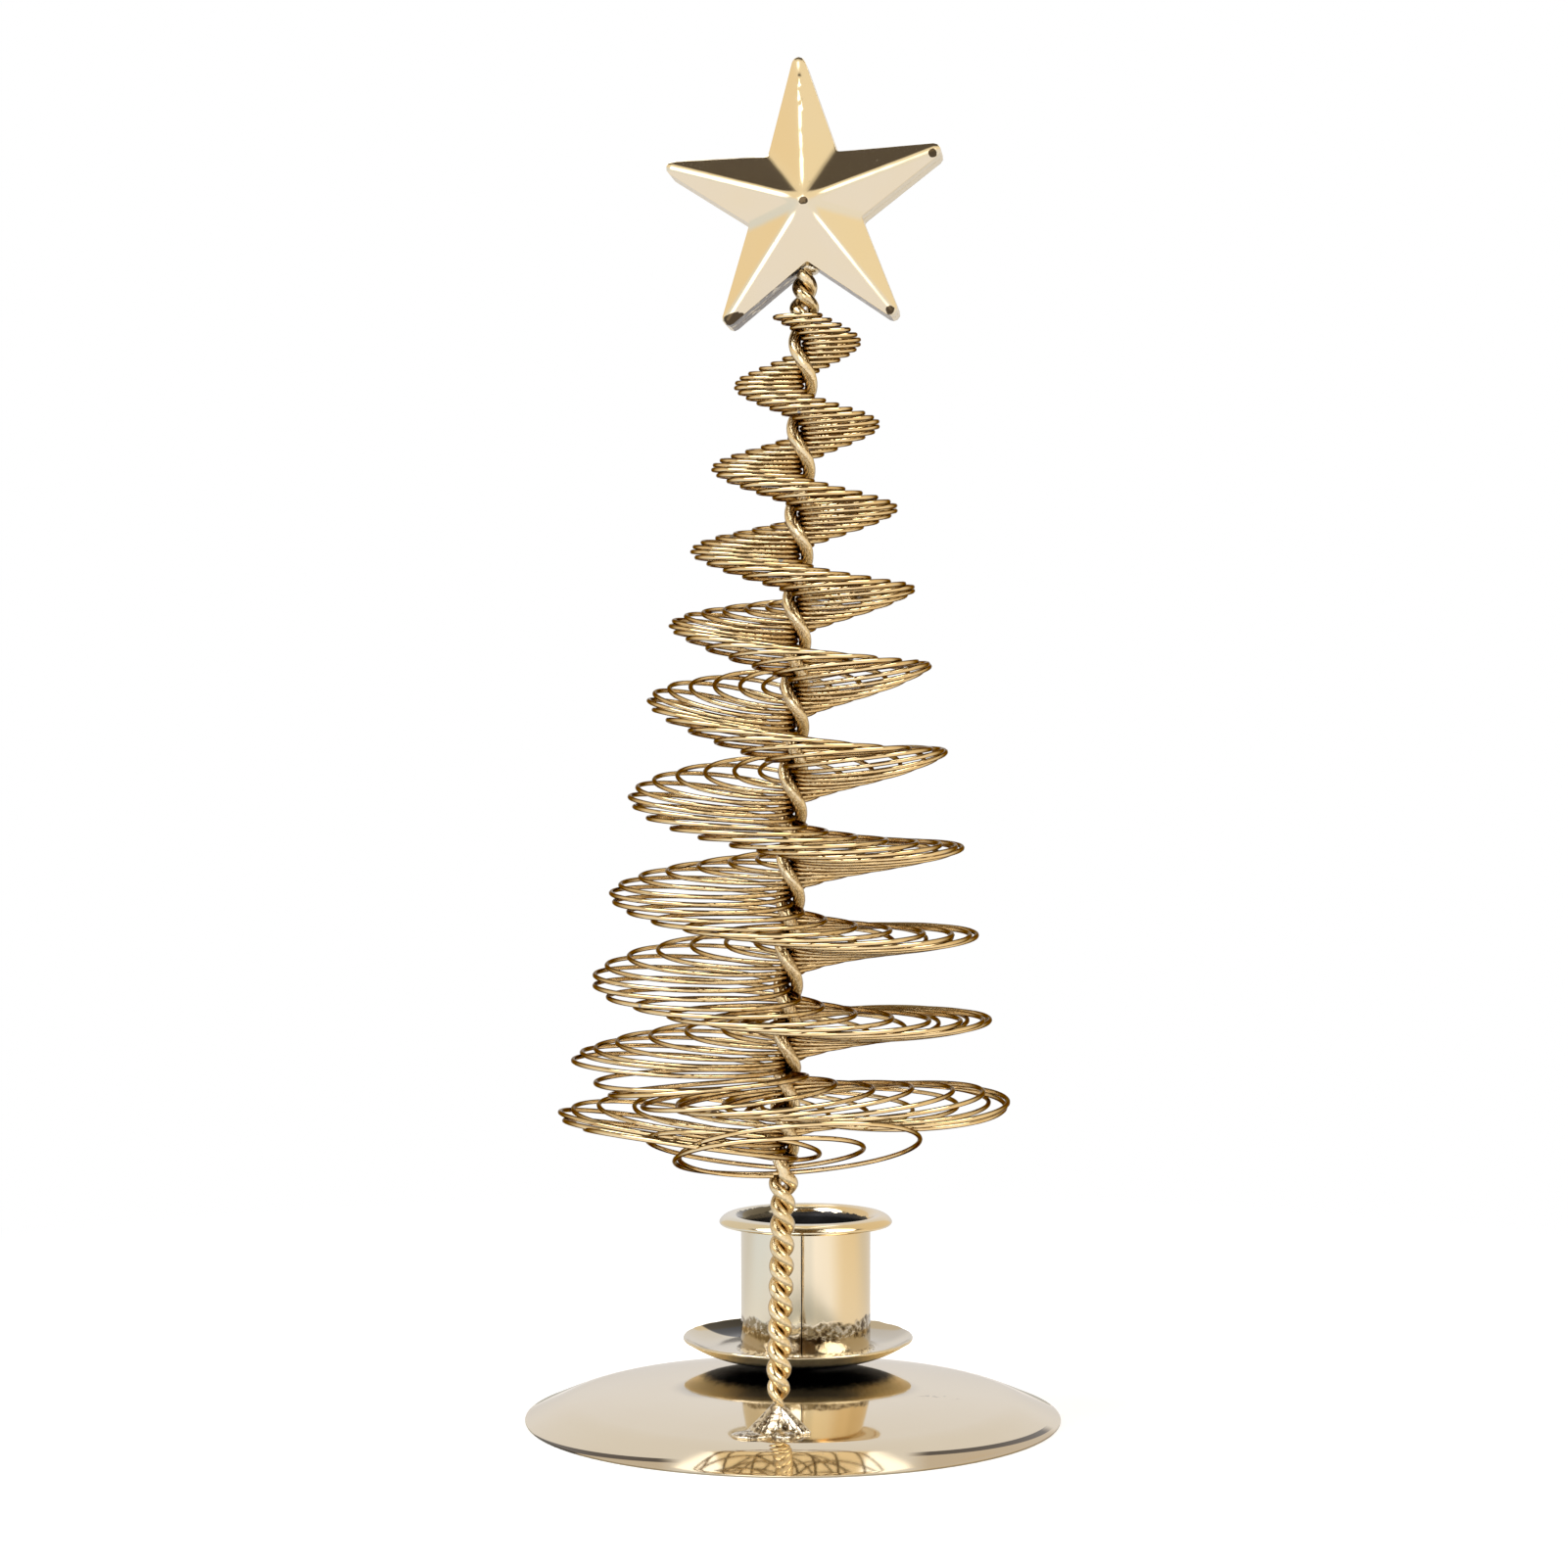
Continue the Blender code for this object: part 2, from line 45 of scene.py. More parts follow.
# Base plate
BASE_RADIUS = 50.0 * MM
BASE_EDGE = 0.3 * MM
BASE_SHEET = 0.8 * MM
BASE_ROUND = 0.22 * MM
BASE_STEPS = 60
BASE_STEP_EASE = 0.7
BASE_SEGMENTS = 160
BASE_EDGE_PARTS = 6
BASE_CLEARANCE = 0.02 * MM

# How steeply the dome falls: distance from its centre in mm, and slope there
DOME_SLOPES = ((0.0, 0.0), (20.0, 0.02), (40.0, 0.14), (44.0, 0.40), (50.0, 0.44))

# Marks on the base: a painted dark reflection along the fold in front, and two ovals given by their
# middle and half sizes in mm
FOLD_RADIUS = 43.4 * MM
FOLD_SPREAD = 0.11
FOLD_LEFT_REACH = 1.7 * MM
# The first oval is painted shade under and in front of the tray; the second is a scratched patch
UNDER_TRAY_SHADE_PATCH = (0.5, -0.5, 21.5, 15.0)
SCRATCHED_PATCH = (27.2, -7.4, 4.6, 1.3)
SPECK_RADIUS = 0.16 * MM

# Drip tray
TRAY_X = 1.1 * MM
TRAY_SETBACK = 26.0 * MM
TRAY_UNDERSIDE = 7.37 * MM
TRAY_FLOOR_RADIUS = 15.4 * MM
TRAY_SIDE_WIDTH = 7.1 * MM
TRAY_DEPTH = 2.4 * MM
TRAY_SHEET = 0.6 * MM
TRAY_SHAPE = 2.2
TRAY_STEPS = 16
TRAY_SEGMENTS = 144
TRAY_LIP_LUMPS = 0.10 * MM
TRAY_BELLY = 6.0 * MM
TRAY_BELLY_RADIUS = 10.5 * MM
TRAY_BELLY_SHAPE = 2.0
TRAY_LIP_PARTS = 6
TRAY_BRAZE_WAIST = 0.94
TRAY_BRAZE_SEGMENTS = 72

# Candle cup
CUP_OFFSET = 1.5 * MM
CUP_BORE_RADIUS = 12.2 * MM
CUP_WALL = 0.5 * MM
CUP_FOOT = 8.1 * MM
CUP_TOP = 34.27 * MM
CUP_FLARE_RADIUS = 2.1 * MM
CUP_FLARE_SWEEP = math.radians(155.0)
CUP_BEAD_RADIUS = 0.5 * MM
CUP_FLARE_STEPS = 14
CUP_BEAD_STEPS = 8
CUP_SEGMENTS = 128
CUP_SEAM_WIDTH = 0.22 * MM
CUP_SEAM_TURN = math.radians(-94.0)
CUP_WELD_SIZE = 0.9 * MM
CUP_WELD_OVERLAP = 0.05 * MM
CUP_WELD_PARTS = 6
CUP_WELD_SEGMENTS = 96
CUP_DULL_TOP = 14.8 * MM

# Stem
STEM_X = -2.88 * MM
STEM_SETFORWARD = 31.5 * MM
STEM_LEAN = 0.0238
STEM_WIRE_RADIUS = 1.125 * MM
STEM_TWIST_PITCH = 7.11 * MM
STEM_LOWER_PITCH = 7.28 * MM
STEM_TREE_PITCH = 15.15 * MM
STEM_POINTS_PER_TURN = 28
STEM_SIDES = 20
STEM_HOLD = 1.0 * MM
STEM_EASE = 3.0 * MM
STEM_TOP = 208.9 * MM
STEM_BOTTOM = 7.6 * MM
STEM_NECK = 8.6 * MM
STEM_NECK_EASE = 4.2 * MM
STEM_NECK_SHARE = 0.60

# Tree coil
TREE_TOP = 201.4 * MM
TREE_BACK_BELOW_TOP = 8.6 * MM
TREE_BOTTOM = 52.2 * MM
TREE_TOP_DIAMETER = 8.8 * MM
TREE_BOTTOM_DIAMETER = 40.0 * MM
TREE_BULGE = 1.5 * MM
TREE_WIRE_RADIUS = 0.43 * MM
TREE_FRONT_REACH = 37.35 * MM
TREE_RING_PITCH = 0.836 * MM
TREE_POINT_SPACING = 1.7 * MM
TREE_LEAST_POINTS = 20
TREE_WIRE_SIDES = 8

# The last rings, wound tighter and bent by hand: height in mm where they pass the stem, facing in
# degrees, radius in mm, rise to the right and rise to the back; the final row only ends the wire
LAST_RINGS = (
    (69.29, 144.7, 18.5, -0.04, 0.06),
    (68.75, 165.0, 18.6, -0.055, 0.03),
    (68.2, 185.0, 18.8, -0.054, 0.02),
    (67.7, 205.0, 17.5, 0.02, 0.02),
    (67.2, 225.0, 18.1, 0.08, -0.05),
    (66.4, 245.0, 18.0, 0.10, 0.0),
    (65.6, 265.0, 18.3, 0.085, 0.01),
    (64.7, 283.0, 18.5, 0.113, 0.01),
    (63.9, 303.0, 19.1, 0.104, 0.02),
    (63.0, 323.0, 19.2, 0.097, 0.04),
    (62.2, 343.0, 19.9, 0.049, 0.08),
    (61.4, 363.0, 19.5, 0.013, 0.10),
    (60.5, 384.0, 19.3, 0.02, 0.08),
    (59.6, 408.0, 19.4, 0.0, 0.06),
    (58.8, 433.0, 19.4, -0.02, 0.05),
    (57.9, 457.0, 19.5, -0.03, 0.06),
    (57.1, 478.0, 19.5, -0.04, 0.09),
    (56.3, 499.0, 19.6, -0.10, 0.07),
    (55.5, 518.0, 19.8, -0.125, 0.05),
    (54.7, 536.0, 19.9, -0.155, -0.03),
    (53.9, 554.0, 19.6, -0.155, -0.06),
    (53.0, 577.0, 19.3, -0.155, -0.10),
    (51.9, 598.0, 16.4, -0.09, -0.265),
    (50.6, 628.0, 17.6, 0.06, -0.28),
    (49.7, 635.0, 18.6, 0.07, -0.345),
    (49.2, 650.0, 0.0, 0.0, 0.0),
)
LAST_RING_WIDENING = 1.16
LAST_RINGS_TURNS = 8
LAST_RINGS_TOP = LAST_RINGS[0][0] * MM
COIL_END = LAST_RINGS[-1][0] * MM
WIRE_END_HEIGHT = 52.9 * MM
WIRE_END_REACH = Vector((-6.2, 0.4, 0.5)) * MM
WIRE_END_THICKER = 1.3

# How the rings stand at some heights: height in mm, rise outwards, tilt back and tilt left
RING_STAND = (
    (203.0, 0.02, 0.13, 0.0),
    (192.0, 0.02, 0.14, -0.02),
    (178.0, 0.05, 0.12, -0.02),
    (163.0, 0.055, 0.10, 0.0),
    (155.0, 0.075, 0.10, 0.0),
    (147.0, 0.12, 0.10, 0.02),
    (139.5, 0.155, 0.11, 0.01),
    (132.0, 0.175, 0.13, 0.02),
    (124.5, 0.165, 0.12, 0.03),
    (117.0, 0.13, 0.11, 0.01),
    (109.5, 0.07, 0.10, 0.0),
    (102.0, 0.03, 0.085, 0.0),
    (87.0, 0.045, 0.085, 0.0),
    (75.0, 0.04, 0.06, 0.0),
    (68.0, 0.05, 0.03, 0.0),
)

# Star
STAR_HEIGHT = 220.8 * MM
STAR_RADIUS = 25.49 * MM
STAR_NOTCH_RADIUS = 10.4 * MM
STAR_TIP_RADIUS = 1.2 * MM
STAR_TIP_CUT = 2.9 * MM
STAR_NOTCH_ROUND = 0.5 * MM
STAR_TIP_STEPS = 4
STAR_NOTCH_STEPS = 2
STAR_EDGE_DEPTH = 3.5 * MM
STAR_RIDGE_RISE = 2.4 * MM
STAR_RIDGE_ROUND = 0.62 * MM
STAR_VALLEY_ROUND = 0.65 * MM
STAR_RIM_ROUND = 0.28 * MM
STAR_GAP = 0.05 * MM
STAR_CUTS = 30
STAR_WALL_ROWS = 5
STAR_ROLL = math.radians(2.5)
STAR_YAW = math.radians(-7.0)
STAR_POINTS = 5

# Painted dark reflections on the star's tips and middle: place across, up and in front, and radius,
# in mm
STAR_REFLECTION_SPOTS = (
    (-12.9, -20.9, 3.5, 2.2),
    (14.2, -19.9, 3.5, 0.75),
    (22.9, 7.0, 3.5, 0.8),
    (0.1, -0.1, 5.8, 0.8),
)

# Small casting bumps on the upper arm: place across and up the face, and radius, in mm
STAR_BUMPS = (
    (0.1, 21.5, 0.8),
    (-0.2, 19.4, 0.7),
    (0.5, 17.3, 0.6),
    (0.1, 12.6, 0.35),
    (0.0, 7.9, 0.4),
)
STAR_BUMP_HEIGHT = 0.22

# Legs of the stem's foot: direction in degrees, then reach and radius at neck and toe in mm
FOOT_LEGS = (
    (-146.0, 5.8, 0.95, 0.60),
    (-138.0, 5.9, 0.95, 0.70),
    (-130.0, 6.0, 0.95, 0.75),
    (-122.0, 5.8, 0.95, 0.75),
    (-114.0, 5.2, 0.95, 0.75),
    (-106.0, 4.4, 0.95, 0.75),
    (-36.0, 6.6, 0.85, 0.60),
    (-43.0, 6.2, 0.85, 0.60),
    (-52.0, 4.8, 0.85, 0.60),
    (-85.0, 3.6, 0.85, 0.80),
    (50.0, 2.6, 0.90, 0.60),
    (130.0, 2.6, 0.90, 0.60),
)

# Flat lumps of weld under and before the foot: place to the right and back, and half sizes, in mm
FOOT_PADS = (
    (-4.4, -4.4, 3.8, 2.6, 0.75),
    (1.2, -5.0, 2.4, 2.4, 0.95),
    (0.0, 0.0, 3.0, 2.8, 1.20),
)
WELD_VOXEL = 0.16 * MM

# Colours of the plating, as linear values
WHITE = (1.0, 1.0, 1.0)
PALE_GOLD = (0.77, 0.67, 0.50)
CLOUDED_GOLD = (0.74, 0.63, 0.46)
WARM_GOLD = (0.86, 0.70, 0.45)
DEEP_GOLD = (0.74, 0.58, 0.34)
DARK_GOLD = (0.16, 0.11, 0.06)
BARE_STEEL = (0.42, 0.42, 0.42)
# Painted dark reflection along the base's fold, and a painted reflected band outside it
FOLD_REFLECTED_BAND = (0.58, 0.45, 0.28)
FOLD_PAINTED_REFLECTION = (0.10, 0.075, 0.05)
# Painted shade on the dome under and in front of the tray
UNDER_TRAY_SHADE = (0.11, 0.105, 0.11)
SCRATCHED_GOLD = (0.40, 0.34, 0.26)
TRAY_GOLD = (0.70, 0.62, 0.48)
TRAY_CLOUD = (0.66, 0.58, 0.44)
# Painted light on the tray's underside, and painted shade on it below the lip
TRAY_UNDER_PAINTED_LIGHT = (1.0, 0.84, 0.52)
TRAY_UNDER_SHADE = (0.018, 0.02, 0.03)
TRAY_RIGHT_GREY = (0.50, 0.45, 0.37)
TRAY_LEFT_DARK = (0.06, 0.057, 0.055)
# Painted reflections across the cup: grey on the left, pale in the middle, gold on the right
CUP_LEFT_REFLECTED_GREY = (0.74, 0.69, 0.56)
CUP_MIDDLE_REFLECTED_PALE = (0.88, 0.79, 0.62)
CUP_RIGHT_REFLECTED_GOLD = (0.78, 0.63, 0.40)
CUP_FOOT_DULL = (0.62, 0.55, 0.44)
CUP_BROWN = (0.27, 0.21, 0.12)
CUP_DARK_BROWN = (0.09, 0.06, 0.03)
BORE_DARK = (0.05, 0.05, 0.055)
FLARE_DARK = (0.08, 0.07, 0.055)
COIL_GOLD = (0.90, 0.70, 0.41)
DEEP_COIL_GOLD = (0.80, 0.57, 0.28)
# Painted shade on the thin wire's upper and lower sides
COIL_TOP_SHADE = (0.36, 0.31, 0.20)
COIL_UNDER_SHADE = (0.13, 0.085, 0.035)
# Painted dark reflections along the thin wire's edges, as its colour there and as its glancing tint
COIL_EDGE_REFLECTION = (0.16, 0.10, 0.045)
COIL_GLANCING_REFLECTION = (0.40, 0.28, 0.16)
WIRE_LINE_GOLD = (0.60, 0.44, 0.22)
# Painted dark reflections along the thick wires' edges
WIRE_EDGE_REFLECTION = (0.22, 0.15, 0.07)
STAR_CLOUD = (0.79, 0.66, 0.44)
STAR_WALL_GOLD = (0.80, 0.67, 0.44)
# Painted shade on the star's walls between its lower arms
STAR_WALL_SHADE = (0.10, 0.07, 0.045)
# Painted dark reflections on the star's tips and middle
STAR_REFLECTION_DARK = (0.08, 0.055, 0.03)
FOOT_GOLD = (0.72, 0.65, 0.53)

# Softboxes that polished metal mirrors: direction, least cosine from it, and brightness
SOFTBOXES = (
    ((-0.522, -0.326, 0.788), 0.935, (4.6, 4.6, 4.6)),
    ((0.522, -0.326, 0.788), 0.935, (4.6, 4.45, 4.0)),
    ((-0.254, -0.948, 0.191), 0.975, (3.0, 3.0, 2.95)),
)
SOFTBOX_BLUR = 0.008

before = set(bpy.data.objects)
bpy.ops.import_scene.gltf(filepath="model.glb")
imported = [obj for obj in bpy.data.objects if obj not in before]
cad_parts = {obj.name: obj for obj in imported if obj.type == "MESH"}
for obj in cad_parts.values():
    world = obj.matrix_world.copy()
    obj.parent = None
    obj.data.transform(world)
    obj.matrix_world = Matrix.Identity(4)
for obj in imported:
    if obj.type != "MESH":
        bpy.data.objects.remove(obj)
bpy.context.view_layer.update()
base_low, base_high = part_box("base_plate")
CENTRE = Vector(((base_low.x + base_high.x) / 2, (base_low.y + base_high.y) / 2, 0.0))


def deselect():
    """Leave nothing selected."""
    for shown in bpy.context.selected_objects:
        shown.select_set(False)


def pick(piece):
    """Select a piece and make it the active one."""
    bpy.context.view_layer.objects.active = piece
    piece.select_set(True)


def placed(name, data):
    """A new object in the scene."""
    thing = bpy.data.objects.new(name, data)
    bpy.context.scene.collection.objects.link(thing)
    return thing


def editing():
    """Enter edit mode on the active piece, with everything selected."""
    bpy.ops.object.mode_set(mode="EDIT")
    bpy.ops.mesh.select_all(action="SELECT")


def done_editing():
    """Go back to object mode."""
    bpy.ops.object.mode_set(mode="OBJECT")


def close_up():
    """Merge doubles, drop loose bits and face everything outwards."""
    editing()
    bpy.ops.mesh.remove_doubles(threshold=0.0005 * MM)
    bpy.ops.mesh.delete_loose()
    bpy.ops.mesh.select_all(action="SELECT")
    bpy.ops.mesh.normals_make_consistent(inside=False)
    done_editing()


def apply_modifier(piece, kind, **settings):
    """Add one modifier to the active piece and apply it."""
    step = piece.modifiers.new(kind.lower(), kind)
    for name, value in settings.items():
        setattr(step, name, value)
    bpy.ops.object.modifier_apply(modifier=step.name)


def finish_piece(piece, name, finish, slot, *nodes, angle=35.0):
    """Name a finished piece, smooth it, give it its finish and let it ride on the frame."""
    piece.name = name
    piece.data.name = name
    pick(piece)
    bpy.ops.object.shade_smooth_by_angle(angle=math.radians(angle))
    piece.data.materials.clear()
    piece.data.materials.append(finish)
    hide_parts(*nodes)
    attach(piece, "root")
    deselect()


def turned(outline, place, segments):
    """Turn a closed outline of (radius, height) points once round an upright axis at a place."""
    deselect()
    bpy.ops.mesh.primitive_circle_add(vertices=len(outline), radius=MM)
    piece = bpy.context.object
    for corner, (radius, height) in zip(piece.data.vertices, outline):
        corner.co = (place.x + radius, place.y, height)
    foot = (place.x, place.y, 0.0)
    editing()
    bpy.ops.mesh.spin(steps=segments, angle=math.tau, center=foot, axis=(0.0, 0.0, 1.0))
    done_editing()
    close_up()
    return piece


def arc(radius, height, size, start, parts):
    """Outline points inside a half circle, clockwise from a direction."""
    turns = [start - math.pi * part / parts for part in range(1, parts)]
    return [(radius + size * math.cos(turn), height + size * math.sin(turn)) for turn in turns]


def tube(points, radius, sides, radii=None):
    """A round wire along a list of points, with closed ends, as a mesh."""
    deselect()
    curve = bpy.data.curves.new("route", "CURVE")
    curve.dimensions = "3D"
    curve.bevel_depth = radius
    curve.bevel_resolution = sides // 2 - 2
    curve.use_fill_caps = True
    spline = curve.splines.new("POLY")
    spline.points.add(len(points) - 1)
    for index, point in enumerate(points):
        spline.points[index].co = (*point, 1.0)
        if radii:
            spline.points[index].radius = radii[index]
    pick(placed("route", curve))
    bpy.ops.object.convert(target="MESH")
    piece = bpy.context.object
    close_up()
    return piece


def ease(value):
    """Smooth step from 0 to 1."""
    share = min(max(value, 0.0), 1.0)
    return share * share * (3.0 - 2.0 * share)


def direction(angle):
    """Unit vector in plan."""
    return Vector((math.cos(angle), math.sin(angle), 0.0))


def maths(operation):
    """A method that adds one maths node on a value and any others."""
    def method(value, *others):
        inputs = dict(enumerate((value, *others)))
        return value.nodes.add("ShaderNodeMath", {"operation": operation}, inputs)
    return method


class Signal:
    """One value in a node tree, so that shader maths reads as plain expressions."""

    __add__ = __radd__ = maths("ADD")
    __sub__ = maths("SUBTRACT")
    __mul__ = maths("MULTIPLY")
    __truediv__ = maths("DIVIDE")
    size = maths("ABSOLUTE")
    root = maths("SQRT")
    most = maths("MAXIMUM")

    def __init__(self, nodes, socket):
        self.nodes = nodes
        self.socket = socket

    def __rsub__(self, other):
        return self * -1.0 + other

    def mix(self, share, colour):
        """This colour, mixed with another by a share from 0 to 1."""
        return self.nodes.colours(share, self, colour)

    def step(self, low, high):
        """0 below low, 1 above high and smooth between them; high may be the lower of the two."""
        settings = {"interpolation_type": "SMOOTHSTEP"}
        inputs = {"Value": self, "From Min": low, "From Max": high}
        return self.nodes.add("ShaderNodeMapRange", settings, inputs)


class Nodes:
    """The node tree of one finish."""

    def __init__(self, tree):
        self.tree = tree
        self.tree.nodes.clear()

    def add(self, kind, settings, inputs, output=0):
        """Add a node of a kind: its settings first, then its values and links."""
        made = self.tree.nodes.new(kind)
        for name, value in settings.items():
            setattr(made, name, value)
        for name, value in inputs.items():
            if isinstance(value, Signal):
                self.tree.links.new(value.socket, made.inputs[name])
            else:
                made.inputs[name].default_value = value
        return Signal(self, made.outputs[output]) if made.outputs else None

    def place(self):
        """Where the surface is, in its piece's own coordinates."""
        return self.add("ShaderNodeTexCoord", {}, {}, output="Object")

    def normal(self):
        """Which way the surface faces."""
        return self.add("ShaderNodeNewGeometry", {}, {}, output="Normal")

    def ray(self, kind):
        """1 for one kind of ray and 0 for all others."""
        return self.add("ShaderNodeLightPath", {}, {}, output=kind)

    def part(self, vector, axis):
        """One of a vector's three values."""
        return self.add("ShaderNodeSeparateXYZ", {}, {"Vector": vector}, output=axis)

    def vectors(self, operation, first, second=(0.0, 0.0, 0.0), output="Value"):
        """Vector maths on one or two vectors."""
        inputs = {0: first, 1: second}
        return self.add("ShaderNodeVectorMath", {"operation": operation}, inputs, output=output)

    def from_axis(self, foot):
        """How far the surface is across, along and straight out from an upright axis."""
        away = self.vectors("SUBTRACT", self.place(), foot, output="Vector")
        across = self.part(away, "X")
        along = self.part(away, "Y")
        return across, along, (across * across + along * along).root()

    def patch(self, across, along, oval):
        """0 in an oval's middle and 1 on its outline; the oval is given in mm."""
        middle_x, middle_y, half_wide, half_deep = (value * MM for value in oval)
        wide = (across - middle_x) / half_wide
        deep = (along - middle_y) / half_deep
        return wide * wide + deep * deep

    def grain(self, size, detail=3.0):
        """Soft noise from 0 to 1 whose lumps are about a size across."""
        inputs = {"Vector": self.place(), "Scale": 1.0 / size, "Detail": detail}
        return self.add("ShaderNodeTexNoise", {}, inputs)

    def specks(self, apart):
        """Small round dots, 1 in their middle, one in each cell."""
        inputs = {"Vector": self.place(), "Scale": 1.0 / apart}
        distance = self.add("ShaderNodeTexVoronoi", {}, inputs, output="Distance")
        return distance.step(SPECK_RADIUS / apart, 0.0)

    def colours(self, share, low, high):
        """Mix two colours by a share from 0 to 1."""
        inputs = {0: share}
        for socket, value in ((6, low), (7, high)):
            inputs[socket] = value if isinstance(value, Signal) else (*value, 1.0)
        return self.add("ShaderNodeMix", {"data_type": "RGBA"}, inputs, output=2)

    def glow(self, colour, strength=1.0):
        """Light given off in a colour."""
        return self.add("ShaderNodeEmission", {}, {"Color": colour, "Strength": strength})

    def edge(self):
        """1 towards the outline of a round wire and 0 over its middle; dark reflections are painted
        there.
        """
        facing = self.add("ShaderNodeLayerWeight", {}, {"Blend": 0.5}, output="Facing")
        return facing.step(0.40, 0.70)

    def bumps(self, height, distance):
        """Surface normal that follows a height of 0 to 1 times a distance."""
        inputs = {"Height": height, "Distance": distance, "Strength": 1.0}
        return self.add("ShaderNodeBump", {}, inputs)


def metal(colour, roughness, normal, edge=WHITE):
    """Finish a material: a metal whose colour, roughness and normal vary over it."""
    nodes = colour.nodes
    inputs = {
        "Base Color": colour,
        "Metallic": 1.0,
        "Roughness": roughness,
        "Normal": normal,
        "Specular Tint": (*edge, 1.0),
    }
    shader = nodes.add("ShaderNodeBsdfPrincipled", {}, inputs)
    nodes.add("ShaderNodeOutputMaterial", {}, {"Surface": shader})


def new_finish(name):
    """A new material and its empty node tree."""
    finish = bpy.data.materials.new(name)
    finish.use_nodes = True
    return finish, Nodes(finish.node_tree)


def base_plating():
    """Pale gold mirror, with a painted dark reflection along the fold in front and painted shade
    under and in front of the tray.
    """
    finish, nodes = new_finish("base_plating")
    cloud = nodes.grain(14 * MM)
    fine = nodes.grain(0.7 * MM, detail=4.0)
    across, along, radius = nodes.from_axis(CENTRE)
    tint = nodes.colours(cloud, PALE_GOLD, CLOUDED_GOLD)

    # Painted reflection along the fold in front: a dark line, with a band outside it
    left = across.step(2 * MM, -2 * MM)
    fold = radius - across.size() * FOLD_SPREAD - left * FOLD_LEFT_REACH - FOLD_RADIUS
    in_front = across.size().step(19 * MM, 24 * MM) * along.step(-12 * MM, -18 * MM)
    line = fold.step(-0.35 * MM, -0.25 * MM) * fold.step(0.75 * MM, 0.6 * MM)
    tint = tint.mix(in_front * fold.step(0.0, 0.1 * MM), FOLD_REFLECTED_BAND)
    tint = tint.mix(in_front * line, FOLD_PAINTED_REFLECTION)

    # Painted shade on the dome under and in front of the tray
    shaded = nodes.patch(across, along, UNDER_TRAY_SHADE_PATCH).step(1.12 ** 2, 0.72 ** 2)
    tint = tint.mix(shaded * along.step(-13 * MM, -8 * MM), UNDER_TRAY_SHADE)
    scratched = nodes.patch(across, along, SCRATCHED_PATCH).step(1.0, 0.6 ** 2)
    scratched = scratched * nodes.grain(0.9 * MM, detail=1.0).step(0.55, 0.62)
    tint = tint.mix(scratched * 0.6, SCRATCHED_GOLD)

    height = nodes.grain(16 * MM, detail=2.0) + fine * 0.012
    height = height + nodes.specks(3.2 * MM) * 0.22 + scratched * 0.5
    metal(tint, 0.03 + cloud * 0.04 + fine * 0.02, nodes.bumps(height, 0.05 * MM))
    return finish


def tray_plating():
    """Plating of the drip tray: dark at two places inside, with painted light on its underside and
    painted shade there below the lip.
    """
    finish, nodes = new_finish("tray_plating")
    cloud = nodes.grain(9 * MM)
    lumps = nodes.grain(1.1 * MM)
    up = nodes.part(nodes.normal(), "Z")
    across, along, radius = nodes.from_axis(tray_place())
    tint = nodes.colours(cloud, TRAY_GOLD, TRAY_CLOUD)

    under = up.step(0.15, -0.25)
    rise = nodes.part(nodes.place(), "Z") + (lumps - 0.5) * 0.8 * MM
    low = rise.step(TRAY_UNDERSIDE + 1.1 * MM, TRAY_UNDERSIDE - 0.1 * MM)
    # Painted light over the underside, then painted shade on it below the lip
    tint = tint.mix(under, TRAY_UNDER_PAINTED_LIGHT)
    tint = tint.mix(under * low, TRAY_UNDER_SHADE)

    inside = up.step(0.2, 0.4)
    right_side = inside * across.step(8.0 * MM, 11.0 * MM) * along.step(2.0 * MM, 6.0 * MM)
    tint = tint.mix(right_side * 0.7, TRAY_RIGHT_GREY)
    left_side = inside * across.step(-4.0 * MM, -6.0 * MM) * along.step(10.6 * MM, 11.4 * MM)
    tint = tint.mix(left_side * radius.step(22.3 * MM, 22.0 * MM), TRAY_LEFT_DARK)

    height = nodes.grain(12 * MM, detail=2.0) + nodes.specks(2.6 * MM) * 0.2 + under * lumps * 3.0
    metal(tint, 0.08 + cloud * 0.06 + under * 0.45, nodes.bumps(height, 0.05 * MM))
    return finish


